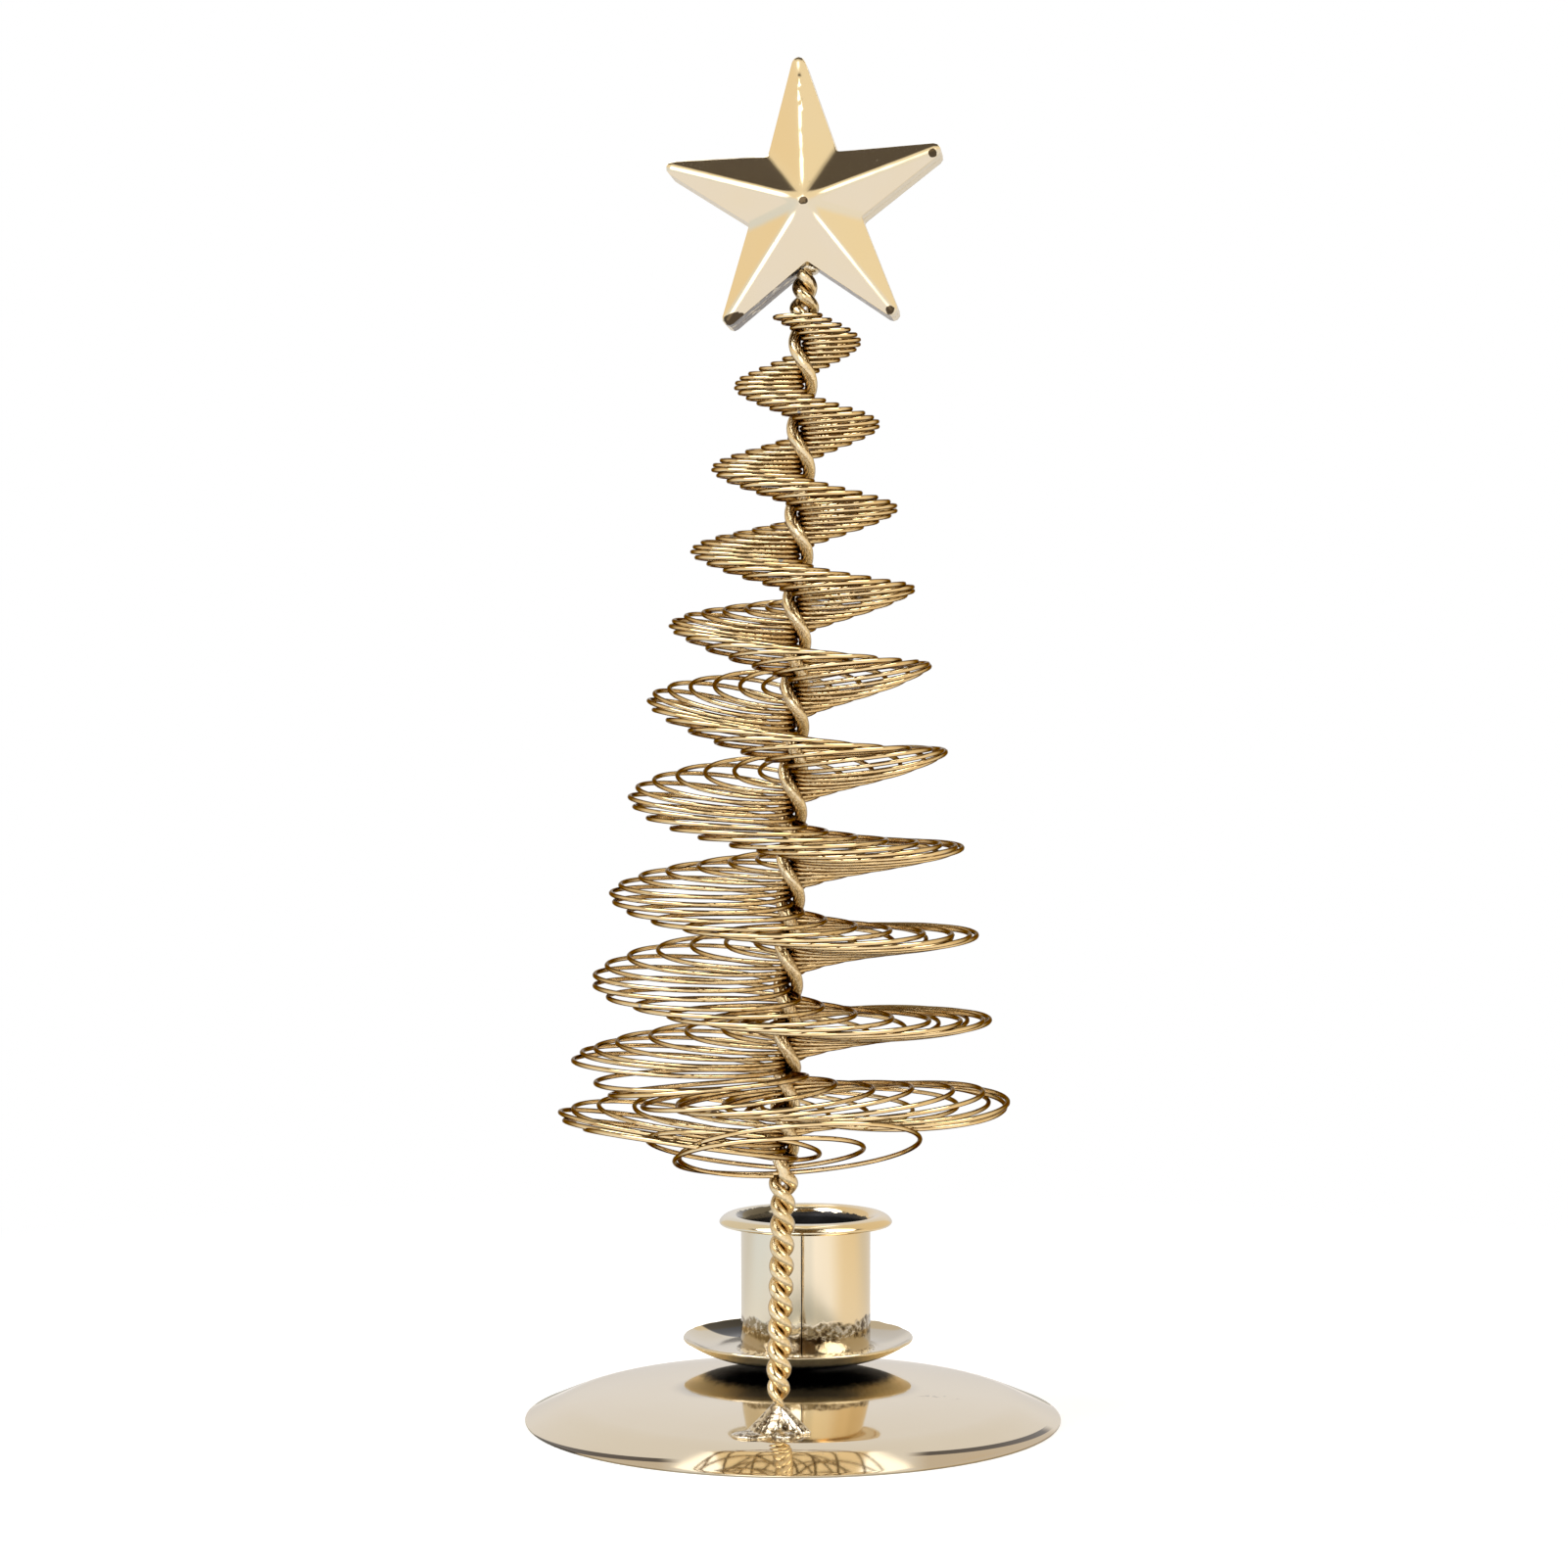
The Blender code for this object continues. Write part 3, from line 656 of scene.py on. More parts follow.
def cup_plating():
    """Plating of the cup: painted reflections make it greyer left of its seam and golder to the
    right; matt and lumpy at its foot, with a dark bore.
    """
    finish, nodes = new_finish("cup_plating")
    cloud = nodes.grain(14 * MM)
    ragged = nodes.grain(1.2 * MM, detail=4.0)
    lumps = nodes.grain(1.0 * MM)
    broad = nodes.grain(3.5 * MM, detail=2.0)
    across, _, radius = nodes.from_axis(cup_place())
    # Painted reflections: greyer left of the seam, paler beyond it and golder to the right
    tint = nodes.colours(across.step(0.5 * MM, 2.0 * MM), CUP_LEFT_REFLECTED_GREY, CUP_MIDDLE_REFLECTED_PALE)
    tint = tint.mix(across.step(4.0 * MM, 7.5 * MM), CUP_RIGHT_REFLECTED_GOLD)
    tint = tint.mix(cloud * 0.3, DEEP_GOLD)

    rise = nodes.part(nodes.place(), "Z") + (ragged - 0.5) * 1.2 * MM + (broad - 0.5) * 3.0 * MM
    low = rise.step(CUP_DULL_TOP + 0.4 * MM, CUP_DULL_TOP - 0.4 * MM)
    band = low * rise.step(CUP_DULL_TOP - 4.0 * MM, CUP_DULL_TOP - 3.0 * MM)
    dark = lumps.step(0.46, 0.38) * across.step(0.5 * MM, 2.5 * MM)
    tint = tint.mix(low, CUP_FOOT_DULL)
    tint = tint.mix(band * (1.0 - lumps.step(0.50, 0.60) * 0.7), CUP_BROWN)
    tint = tint.mix(band * dark, CUP_DARK_BROWN)

    edge = CUP_BORE_RADIUS + CUP_WALL / 2
    bore = (radius + (ragged - 0.5) * 0.5 * MM).step(edge + 0.04 * MM, edge - 0.04 * MM)
    flare = (radius + (ragged - 0.5) * 1.4 * MM).step(edge + 1.3 * MM, edge + 1.1 * MM)
    flare = flare * nodes.part(nodes.normal(), "Z").step(0.05, 0.2)
    tint = tint.mix(bore, BORE_DARK)
    tint = tint.mix(flare * across.step(-3.5 * MM, -6.0 * MM) * 0.9, FLARE_DARK)

    height = nodes.grain(16 * MM, detail=2.0) + nodes.specks(4.0 * MM) * 0.2 + low * lumps * 2.0
    metal(tint, 0.07 + cloud * 0.04 + bore * 0.25, nodes.bumps(height, 0.03 * MM))
    return finish


def coil_plating():
    """Thin wire: bright gold, with painted shade above and below and painted dark reflections at its
    edges.
    """
    finish, nodes = new_finish("coil_plating")
    patch = nodes.grain(5 * MM)
    bare = nodes.grain(3.2 * MM, detail=1.0).step(0.76, 0.80)
    up = nodes.part(nodes.normal(), "Z")
    tint = nodes.colours(patch.step(0.35, 0.75), COIL_GOLD, DEEP_COIL_GOLD)
    tint = tint.mix(bare, BARE_STEEL)
    # Painted shade on the wire's upper and lower sides
    tint = tint.mix(up.step(0.45, 0.80), COIL_TOP_SHADE)
    tint = tint.mix(up.step(-0.45, -0.80), COIL_UNDER_SHADE)
    # Painted dark reflections towards the wire's outline, here and in the glancing tint below
    tint = tint.mix(nodes.edge() * 0.85, COIL_EDGE_REFLECTION)
    roughness = 0.05 + patch * 0.05 + bare * 0.2
    metal(tint, roughness, nodes.bumps(patch, 0.01 * MM), COIL_GLANCING_REFLECTION)
    return finish


def wire_plating(name):
    """Bright drawn wire: warm gold, with drawing lines, deeper gold in patches and painted dark
    reflections at its edges.
    """
    finish, nodes = new_finish(name)
    patch = nodes.grain(5 * MM)
    fine = nodes.grain(0.45 * MM)
    tint = nodes.colours(patch.step(0.35, 0.75), WARM_GOLD, DEEP_GOLD)
    tint = tint.mix(fine.step(0.50, 0.66) * 0.6, WIRE_LINE_GOLD)
    # Painted dark reflections towards the wire's outline
    tint = tint.mix(nodes.edge() * 0.6, WIRE_EDGE_REFLECTION)
    roughness = 0.06 + patch * 0.05 + fine * 0.08
    metal(tint, roughness, nodes.bumps(fine * 6.0 + patch, 0.01 * MM))
    return finish


def star_plating(name):
    """Bright faces with a few casting pits and painted dark reflections, and rougher side walls with
    painted shade between the lower arms.
    """
    finish, nodes = new_finish(name)
    turning = {"Vector": nodes.normal(), "Angle": -STAR_YAW}
    facing = nodes.add("ShaderNodeVectorRotate", {"rotation_type": "Z_AXIS"}, turning)
    wall = nodes.part(facing, "Y").size().step(0.55, 0.25)
    cloud = nodes.grain(9 * MM, detail=2.0)
    lumps = nodes.grain(1.3 * MM, detail=2.0)
    tint = nodes.colours(cloud, PALE_GOLD, STAR_CLOUD)
    tint = tint.mix(wall, STAR_WALL_GOLD)

    centre = stem_axis(STAR_HEIGHT)
    away = nodes.vectors("SUBTRACT", nodes.place(), centre, output="Vector")
    # Painted shade on the inward walls below the star's middle, between the arms
    side = nodes.part(away, "X").step(-0.8 * MM, 0.8 * MM) * 2.0 - 1.0
    inner = (nodes.part(facing, "X") * side).step(-0.05, -0.3)
    low = nodes.part(away, "Z").step(-7.0 * MM, -9.0 * MM)
    shade_between_arms = wall * inner * low * (1.0 - lumps.step(0.56, 0.64) * 0.7)
    tint = tint.mix(shade_between_arms, STAR_WALL_SHADE)

    # Painted dark reflections at a few tips and at the middle
    for across, up, depth, radius in STAR_REFLECTION_SPOTS:
        spot = centre + star_turn().to_3x3() @ Vector((across, -depth, up)) * MM
        gap = nodes.vectors("DISTANCE", nodes.place(), spot) + (lumps - 0.5) * radius * 1.1 * MM
        dark = gap.step(radius * MM * 1.05, radius * MM * 0.9)
        tint = tint.mix(dark, STAR_REFLECTION_DARK)

    height = cloud + nodes.specks(2.6 * MM) * 0.2 + wall * lumps * 2.5
    metal(tint, 0.06 + cloud * 0.05 + wall * 0.12, nodes.bumps(height, 0.05 * MM))
    return finish


def weld_plating(name, dark, colour=PALE_GOLD, lump_size=0.8 * MM):
    """Plating over a bead of weld: bright on its lumps and darker in its hollows."""
    finish, nodes = new_finish(name)
    lumps = nodes.grain(lump_size)
    tint = nodes.colours(lumps.step(0.55, 0.35) * dark, colour, DARK_GOLD)
    metal(tint, 0.10 + lumps * 0.15, nodes.bumps(lumps, 0.12 * MM))
    return finish


def dome_height(radius):
    """Height of the base's upper surface at a distance from the base's centre."""
    height = BASE_EDGE
    for (inner, flatter), (outer, steeper) in zip(DOME_SLOPES, DOME_SLOPES[1:]):
        near = min(max(radius / MM, inner), outer)
        there = flatter + (steeper - flatter) * (near - inner) / (outer - inner)
        height += (outer - near) * (there + steeper) / 2 * MM
    return height


def base_dome(finish):
    """Thin pressed dome with a rounded edge that stands on the table."""
    shares = [(step / BASE_STEPS) ** BASE_STEP_EASE for step in range(BASE_STEPS + 1)]
    shoulder = BASE_RADIUS - BASE_ROUND
    upper = [(shoulder * share, dome_height(shoulder * share)) for share in shares]
    edge = arc(shoulder, BASE_ROUND, BASE_ROUND, math.pi / 3, BASE_EDGE_PARTS)
    inside = shoulder - BASE_SHEET
    lower = []
    for share in shares:
        under = dome_height(inside * share) - BASE_SHEET
        lower.append((inside * share, max(under, BASE_CLEARANCE)))
    lower[-1] = (inside, BASE_CLEARANCE)
    piece = turned(upper + edge + lower[::-1], CENTRE, BASE_SEGMENTS)
    finish_piece(piece, "base_dome", finish, "plated_sheet", "base_plate")


def lip_lump(angle, seed):
    """Unevenness of the plating along a lip, from -1 to 1."""
    spot = Vector((math.cos(angle) * 9.0, math.sin(angle) * 9.0, seed))
    return noise.noise(spot) + 0.6 * noise.noise(spot * 2.7)


def tray_place():
    """Foot of the tray's upright axis."""
    return CENTRE + Vector((TRAY_X, TRAY_SETBACK, 0.0))


def tray_dish(finish):
    """Shallow dish with a curved side, a rounder underside and an uneven lip."""
    place = tray_place()
    top = TRAY_UNDERSIDE + TRAY_SHEET
    lip_radius = TRAY_FLOOR_RADIUS + TRAY_SIDE_WIDTH - TRAY_SHEET / 2
    lip_middle = TRAY_UNDERSIDE + TRAY_SHEET / 2 + TRAY_DEPTH
    belly_depth = TRAY_UNDERSIDE + TRAY_DEPTH - TRAY_BELLY
    upper = [(0.0, top)]
    lower = [(0.0, TRAY_BELLY)]
    for step in range(TRAY_STEPS + 1):
        share = step / TRAY_STEPS
        floor_radius = TRAY_FLOOR_RADIUS + (lip_radius - TRAY_FLOOR_RADIUS) * share
        belly_radius = TRAY_BELLY_RADIUS + (lip_radius - TRAY_BELLY_RADIUS) * share
        upper.append((floor_radius, top + TRAY_DEPTH * share ** TRAY_SHAPE))
        lower.append((belly_radius, TRAY_BELLY + belly_depth * share ** TRAY_BELLY_SHAPE))
    lip = arc(lip_radius, lip_middle, TRAY_SHEET / 2, math.pi / 2, TRAY_LIP_PARTS)
    piece = turned(upper + lip + lower[::-1], place, TRAY_SEGMENTS)
    for corner in piece.data.vertices:
        away = corner.co - place
        radius = away.xy.length
        near_lip = ease((radius - lip_radius + 1.2 * MM) / (1.2 * MM))
        lump = lip_lump(math.atan2(away.y, away.x), 3.0) * TRAY_LIP_LUMPS * near_lip
        corner.co.z += lump
        corner.co.xy += away.xy.normalized() * min(lump, 0.0) * 0.6
    finish_piece(piece, "tray_dish", finish, "plated_sheet", "drip_tray")


def tray_braze(finish):
    """Squat lump of braze between the dome and the tray's underside."""
    low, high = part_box("tray_weld")
    reach = (high.x - low.x) / 2
    foot = dome_height(TRAY_SETBACK + reach)
    top = TRAY_BELLY - 0.01 * MM
    waist = (reach * TRAY_BRAZE_WAIST, (foot + top) / 2)
    outline = [(0.0, foot), (reach, foot), waist, (reach, top), (0.0, top)]
    piece = turned(outline, tray_place(), TRAY_BRAZE_SEGMENTS)
    finish_piece(piece, "tray_braze", finish, "weld", "tray_weld")


def cup_place():
    """Foot of the cup's upright axis."""
    return CENTRE + Vector((TRAY_X + CUP_OFFSET, TRAY_SETBACK, 0.0))


def cup_wall(finish):
    """Cup rolled from sheet: a butt seam at the front and a flared brim with a beaded edge."""
    middle_radius = CUP_BORE_RADIUS + CUP_WALL / 2
    centre_radius = middle_radius + CUP_FLARE_RADIUS
    centre_height = CUP_TOP - CUP_FLARE_RADIUS - CUP_WALL / 2
    inner = [(CUP_BORE_RADIUS, CUP_FOOT)]
    outer = [(CUP_BORE_RADIUS + CUP_WALL, CUP_FOOT)]
    for step in range(CUP_FLARE_STEPS + 1):
        share = step / CUP_FLARE_STEPS
        turn = math.pi - CUP_FLARE_SWEEP * share
        thick = CUP_WALL / 2 + (CUP_BEAD_RADIUS - CUP_WALL / 2) * share ** 3
        for side, sign in ((inner, 1.0), (outer, -1.0)):
            reach = CUP_FLARE_RADIUS + sign * thick
            radius = centre_radius + math.cos(turn) * reach
            side.append((radius, centre_height + math.sin(turn) * reach))
    turn = math.pi - CUP_FLARE_SWEEP
    bead_radius = centre_radius + CUP_FLARE_RADIUS * math.cos(turn)
    bead_height = centre_height + CUP_FLARE_RADIUS * math.sin(turn)
    bead = arc(bead_radius, bead_height, CUP_BEAD_RADIUS, turn, CUP_BEAD_STEPS)
    piece = turned(inner + bead + outer[::-1], cup_place(), CUP_SEGMENTS)

    straight = centre_height - CUP_FOOT
    reach = direction(CUP_SEAM_TURN) * middle_radius
    deselect()
    bpy.ops.mesh.primitive_cube_add(size=1.0, location=(0.0, 0.0, 0.0))
    cutter = bpy.context.object
    editing()
    bpy.ops.transform.resize(value=(4 * CUP_WALL, CUP_SEAM_WIDTH, straight + MM))
    done_editing()
    cutter.data.transform(Matrix.Rotation(CUP_SEAM_TURN, 4, "Z"))
    middle = cup_place() + reach + Vector((0.0, 0.0, CUP_FOOT + straight / 2 - MM / 2))
    cutter.data.transform(Matrix.Translation(middle))
    deselect()
    pick(piece)
    apply_modifier(piece, "BOOLEAN", operation="DIFFERENCE", solver="EXACT", object=cutter)
    bpy.data.objects.remove(cutter)
    finish_piece(piece, "cup_wall", finish, "plated_sheet", "candle_cup")


def cup_braze(finish):
    """Uneven fillet of braze round the cup's foot."""
    wall = CUP_BORE_RADIUS + CUP_WALL
    floor = TRAY_UNDERSIDE + TRAY_SHEET
    foot = floor - CUP_WELD_OVERLAP
    outline = [(wall - CUP_WELD_OVERLAP, foot)]
    for part in range(CUP_WELD_PARTS + 1):
        turn = math.pi / 2 * part / CUP_WELD_PARTS
        across = CUP_WELD_SIZE * (1.0 - math.sin(turn))
        up = CUP_WELD_SIZE * (1.0 - math.cos(turn))
        outline.append((wall + across, floor + up))
    piece = turned(outline, cup_place(), CUP_WELD_SEGMENTS)
    for corner in piece.data.vertices:
        away = corner.co - cup_place()
        size = 1.0 + 0.25 * lip_lump(math.atan2(away.y, away.x), 8.0)
        corner.co.z = foot + (corner.co.z - foot) * size
    finish_piece(piece, "cup_braze", finish, "weld", "cup_weld")


def stem_axis(height):
    """Where the leaning stem's axis is at a height."""
    return CENTRE + Vector((STEM_X + STEM_LEAN * height, -STEM_SETFORWARD, height))


def twist_angle(height):
    """Direction of stem wire B from the stem's axis; it turns left going down."""
    start = LAST_RINGS_TURNS * math.tau
    for upper, lower in zip(LAST_RINGS, LAST_RINGS[1:]):
        if upper[0] * MM >= height >= lower[0] * MM:
            share = (upper[0] - height / MM) / (upper[0] - lower[0])
            return start + math.radians(upper[1] + (lower[1] - upper[1]) * share)
    if height < COIL_END:
        turns = (COIL_END - height) / STEM_LOWER_PITCH
        return start + math.radians(LAST_RINGS[-1][1]) + math.tau * turns
    middle = min(height, TREE_TOP)
    turns = (TREE_TOP - TREE_BACK_BELOW_TOP - middle) / STEM_TREE_PITCH
    turns += (middle - height) / STEM_TWIST_PITCH
    return math.pi / 2 + math.tau * turns


def strand_offset(height):
    """Distance of each stem wire from the stem's axis, wider where the thin wire is clamped."""
    outside = max(COIL_END - height, height - TREE_TOP, STEM_HOLD) - STEM_HOLD
    share = max(0.0, 1.0 - outside / STEM_EASE)
    return STEM_WIRE_RADIUS + TREE_WIRE_RADIUS * share


def stem_strand(name, node, side, finish):
    """One of the two thick wires, drawn thin at its foot where it is welded."""
    points = []
    radii = []
    height = STEM_BOTTOM
    while height < STEM_TOP:
        neck = STEM_NECK_SHARE + (1.0 - STEM_NECK_SHARE) * ease((height - STEM_NECK) / STEM_NECK_EASE)
        offset = direction(twist_angle(height)) * side * strand_offset(height) * neck
        points.append(stem_axis(height) + offset)
        radii.append(neck)
        inside_tree = LAST_RINGS_TOP < height < TREE_TOP
        pitch = STEM_TREE_PITCH if inside_tree else STEM_TWIST_PITCH
        height += pitch / STEM_POINTS_PER_TURN
    piece = tube(points, STEM_WIRE_RADIUS, STEM_SIDES, radii)
    finish_piece(piece, name, finish, "thick_wire", node)


def blob(place, size):
    """A squashed ball with half sizes in mm, one of the lumps that a weld is joined from."""
    deselect()
    bpy.ops.mesh.primitive_uv_sphere_add(segments=24, ring_count=12, radius=1.0)
    lump = bpy.context.object
    lump.data.transform(Matrix.Diagonal((*(Vector(size) * MM), 1.0)))
    lump.data.transform(Matrix.Translation(place))
    return lump


def leg(start, end, start_radius, end_radius):
    """A tapered leg from one point to another."""
    deselect()
    along = end - start
    bpy.ops.mesh.primitive_cone_add(
        vertices=16, radius1=start_radius, radius2=end_radius, depth=along.length
    )
    limb = bpy.context.object
    limb.data.transform(along.to_track_quat("Z", "Y").to_matrix().to_4x4())
    limb.data.transform(Matrix.Translation((start + end) / 2))
    return limb


def welded(lumps, rounds):
    """Join lumps into one closed body and soften it."""
    deselect()
    for lump in lumps:
        lump.select_set(True)
    bpy.context.view_layer.objects.active = lumps[0]
    bpy.ops.object.join()
    piece = bpy.context.object
    apply_modifier(piece, "REMESH", mode="VOXEL", voxel_size=WELD_VOXEL)
    apply_modifier(piece, "SMOOTH", factor=0.5, iterations=rounds)
    close_up()
    return piece


def foot_splay(finish):
    """The stem's foot: wire ends splayed over the dome and drowned in weld."""
    neck = stem_axis(STEM_NECK)
    lumps = [blob(neck - Vector((0.0, 0.0, 0.5 * MM)), (1.2, 1.2, 1.5))]
    for turn, reach, thick, thin in FOOT_LEGS:
        toe = stem_axis(0.0) + direction(math.radians(turn)) * reach * MM
        from_centre = (toe - CENTRE).xy.length
        toe.z = dome_height(from_centre) + 0.25 * thin * MM
        lumps.append(leg(neck, toe, thick * MM, thin * MM))
        lumps.append(blob(toe, (thin * 1.2, thin * 1.2, thin * 0.9)))
    for right, back, *half_sizes in FOOT_PADS:
        pad = stem_axis(0.0) + Vector((right, back, 0.0)) * MM
        pad.z = dome_height((pad - CENTRE).xy.length) - 0.1 * MM
        lumps.append(blob(pad, half_sizes))
    piece = welded(lumps, 6)
    finish_piece(piece, "foot_splay", finish, "weld", "stem_foot", angle=60.0)


def ring_diameter(height):
    """Diameter of the tree's ring at a height: a cone with a slight belly."""
    share = (TREE_TOP - height) / (TREE_TOP - TREE_BOTTOM)
    straight = TREE_TOP_DIAMETER + (TREE_BOTTOM_DIAMETER - TREE_TOP_DIAMETER) * share
    return straight + TREE_BULGE * 4.0 * share * (1.0 - share)


def ring_stand(height):
    """Rise outwards, tilt back and tilt left of the ring that starts at a height."""
    wanted = height / MM
    for upper, lower in zip(RING_STAND, RING_STAND[1:]):
        if wanted >= lower[0]:
            share = min((upper[0] - wanted) / (upper[0] - lower[0]), 1.0)
            return [first + (last - first) * share for first, last in zip(upper[1:], lower[1:])]
    return RING_STAND[-1][1:]


def coil_points():
    """Route of the thin wire: ring after ring, each clamped between the two stem wires."""
    chance = random.Random(7)
    rings = round((TREE_TOP - LAST_RINGS_TOP) / TREE_RING_PITCH)
    points = []
    for ring in range(rings):
        start = TREE_TOP - TREE_RING_PITCH * ring
        first = twist_angle(start)
        last = twist_angle(start - TREE_RING_PITCH)
        drift = 0.015 * noise.noise(Vector((ring * 0.21, 4.0, 0.0)))
        radius = ring_diameter(start) / 2 * (1.0 + drift + chance.uniform(-0.005, 0.005))
        radius = min(radius, TREE_FRONT_REACH / (1.0 - math.sin((first + last) / 2)))
        outwards, back, left = ring_stand(start)
        outwards += 0.010 * noise.noise(Vector((ring * 0.17, 9.0, 0.0)))
        outwards += chance.uniform(-0.003, 0.003)
        back += 0.010 * noise.noise(Vector((ring * 0.23, 2.0, 0.0)))
        count = max(TREE_LEAST_POINTS, round(math.tau * radius / TREE_POINT_SPACING))
        for step in range(count):
            share = step / count
            height = start - TREE_RING_PITCH * share
            facing = first + (last - first) * share
            plan = (direction(facing) - direction(facing - math.tau * share)) * radius
            rise = outwards * plan.dot(direction(facing)) + back * plan.y - left * plan.x
            points.append(stem_axis(height) + plan + Vector((0.0, 0.0, rise)))
    return points + last_ring_points()


def last_ring_points():
    """Route through the last rings, which follow their own table."""
    points = []
    begin = LAST_RINGS[0][1]
    for ring, after in zip(LAST_RINGS, LAST_RINGS[1:]):
        start, facing, radius, right, back = ring
        widening = LAST_RING_WIDENING if after is LAST_RINGS[-1] else 1.0
        end = (facing + after[1]) / 2
        count = round(math.tau * radius * MM / TREE_POINT_SPACING)
        for step in range(count):
            share = step / count
            height = (start + (after[0] - start) * share) * MM
            turn = math.radians(begin + (end - begin) * share)
            plan = (direction(turn) - direction(turn - math.tau * share)) * radius * MM
            plan.x *= widening
            rise = Vector((0.0, 0.0, right * plan.x + back * plan.y))
            points.append(stem_axis(height) + plan + rise)
        begin = end
    return points


def tree_coil(finish):
    """The thin wire, with its cut end tucked in behind the stem."""
    start = stem_axis(WIRE_END_HEIGHT)
    stub = [start, start + WIRE_END_REACH]
    cut_end = tube(stub, TREE_WIRE_RADIUS * WIRE_END_THICKER, TREE_WIRE_SIDES)
    tube(coil_points(), TREE_WIRE_RADIUS, TREE_WIRE_SIDES)
    cut_end.select_set(True)
    bpy.ops.object.join()
    piece = bpy.context.object
    finish_piece(piece, "tree_coil", finish, "thin_wire", "tree_wire", angle=80.0)


def star_outline():
    """Points round the star: blunt tips and slightly rounded notches."""
    step = math.pi / STAR_POINTS
    tip_centre = STAR_RADIUS - STAR_TIP_RADIUS
    across = STAR_NOTCH_RADIUS * math.sin(step)
    along = tip_centre - STAR_NOTCH_RADIUS * math.cos(step)
    half_tip = math.atan2(across, along)
    half_tip -= math.asin(STAR_TIP_RADIUS / math.hypot(across, along))
    outline = []
    for point in range(STAR_POINTS):
        tip_angle = math.pi / 2 + 2.0 * step * point
        centre = direction(tip_angle) * tip_centre
        for part in range(STAR_TIP_STEPS + 1):
            swing = (2.0 * part / STAR_TIP_STEPS - 1.0) * (math.pi / 2 - half_tip)
            outline.append(centre + direction(tip_angle + swing) * STAR_TIP_RADIUS)
        notch_angle = tip_angle + step
        notch = direction(notch_angle) * STAR_NOTCH_RADIUS
        edge_turn = math.pi / 2 - step - half_tip
        middle = notch + direction(notch_angle) * STAR_NOTCH_ROUND / math.cos(edge_turn)
        for part in range(STAR_NOTCH_STEPS + 1):
            swing = (1.0 - 2.0 * part / STAR_NOTCH_STEPS) * edge_turn
            outline.append(middle - direction(notch_angle + swing) * STAR_NOTCH_ROUND)
    return outline


def star_turn():
    """How the star is turned: a little to the left, and rolled."""
    return Matrix.Rotation(STAR_YAW, 4, "Z") @ Matrix.Rotation(-STAR_ROLL, 4, "Y")


def soft_least(first, second, width):
    """The lesser of two heights, rounded where they cross."""
    overlap = max(width - abs(first - second), 0.0)
    return min(first, second) - overlap * overlap / (4.0 * width)


def star_face_height(x, z):
    """Height of the star's ridged face over its rim, with rounded ridges and valleys."""
    step = math.pi / STAR_POINTS
    sharp_tip = STAR_RADIUS + STAR_TIP_CUT
    nearest = sorted(
        (-(direction(angle).x * x + direction(angle).y * z), angle)
        for angle in (math.pi / 2 + 2.0 * step * point for point in range(STAR_POINTS))
    )
    arms = []
    for _, tip_angle in nearest[:2]:
        tip = direction(tip_angle) * sharp_tip
        facets = []
        for side in (-1.0, 1.0):
            notch = direction(tip_angle + side * step) * STAR_NOTCH_RADIUS
            cross = tip.x * notch.y - tip.y * notch.x
            slope_x = (notch.y - tip.y) / cross
            slope_z = (tip.x - notch.x) / cross
            facets.append(STAR_RIDGE_RISE * (1.0 - slope_x * x - slope_z * z))
        arms.append(soft_least(facets[0], facets[1], STAR_RIDGE_ROUND))
    height = -soft_least(-arms[0], -arms[1], STAR_VALLEY_ROUND)
    for across, up, size in STAR_BUMPS:
        away = math.hypot(x - across * MM, z - up * MM) / (size * MM)
        height += STAR_BUMP_HEIGHT * size * MM * math.exp(-2.0 * away * away)
    return max(height, 0.0)


def star_half(name, node, half_turn, finish):
    """One half of the star: a ridged face on a deep side wall."""
    outline = star_outline()
    deselect()
    bpy.ops.mesh.primitive_circle_add(vertices=len(outline), radius=MM, fill_type="NGON")
    piece = bpy.context.object
    for corner, point in zip(piece.data.vertices, outline):
        corner.co = (point.x, 0.0, point.y)
    editing()
    bpy.ops.mesh.poke()
    bpy.ops.mesh.select_all(action="SELECT")
    bpy.ops.mesh.subdivide(number_cuts=STAR_CUTS)
    done_editing()
    for corner in piece.data.vertices:
        corner.co.y = -STAR_EDGE_DEPTH - star_face_height(corner.co.x, corner.co.z)

    editing()
    bpy.ops.mesh.select_all(action="DESELECT")
    bpy.ops.mesh.select_mode(type="EDGE")
    bpy.ops.mesh.select_non_manifold()
    step = (STAR_EDGE_DEPTH - STAR_GAP) / STAR_WALL_ROWS
    for _ in range(STAR_WALL_ROWS):
        bpy.ops.mesh.extrude_region_move(TRANSFORM_OT_translate={"value": (0.0, step, 0.0)})
    bpy.ops.mesh.edge_face_add()
    bpy.ops.mesh.select_all(action="SELECT")
    bpy.ops.mesh.normals_make_consistent(inside=False)
    bpy.ops.mesh.select_all(action="DESELECT")
    bpy.ops.mesh.edges_select_sharp(sharpness=math.radians(55.0))
    bpy.ops.mesh.bevel(offset=STAR_RIM_ROUND, segments=3, affect="EDGES", clamp_overlap=True)
    done_editing()

    piece.data.transform(Matrix.Rotation(half_turn, 4, "Z"))
    piece.data.transform(Matrix.Translation(stem_axis(STAR_HEIGHT)) @ star_turn())
    finish_piece(piece, name, finish, "star_shell", node, angle=40.0)


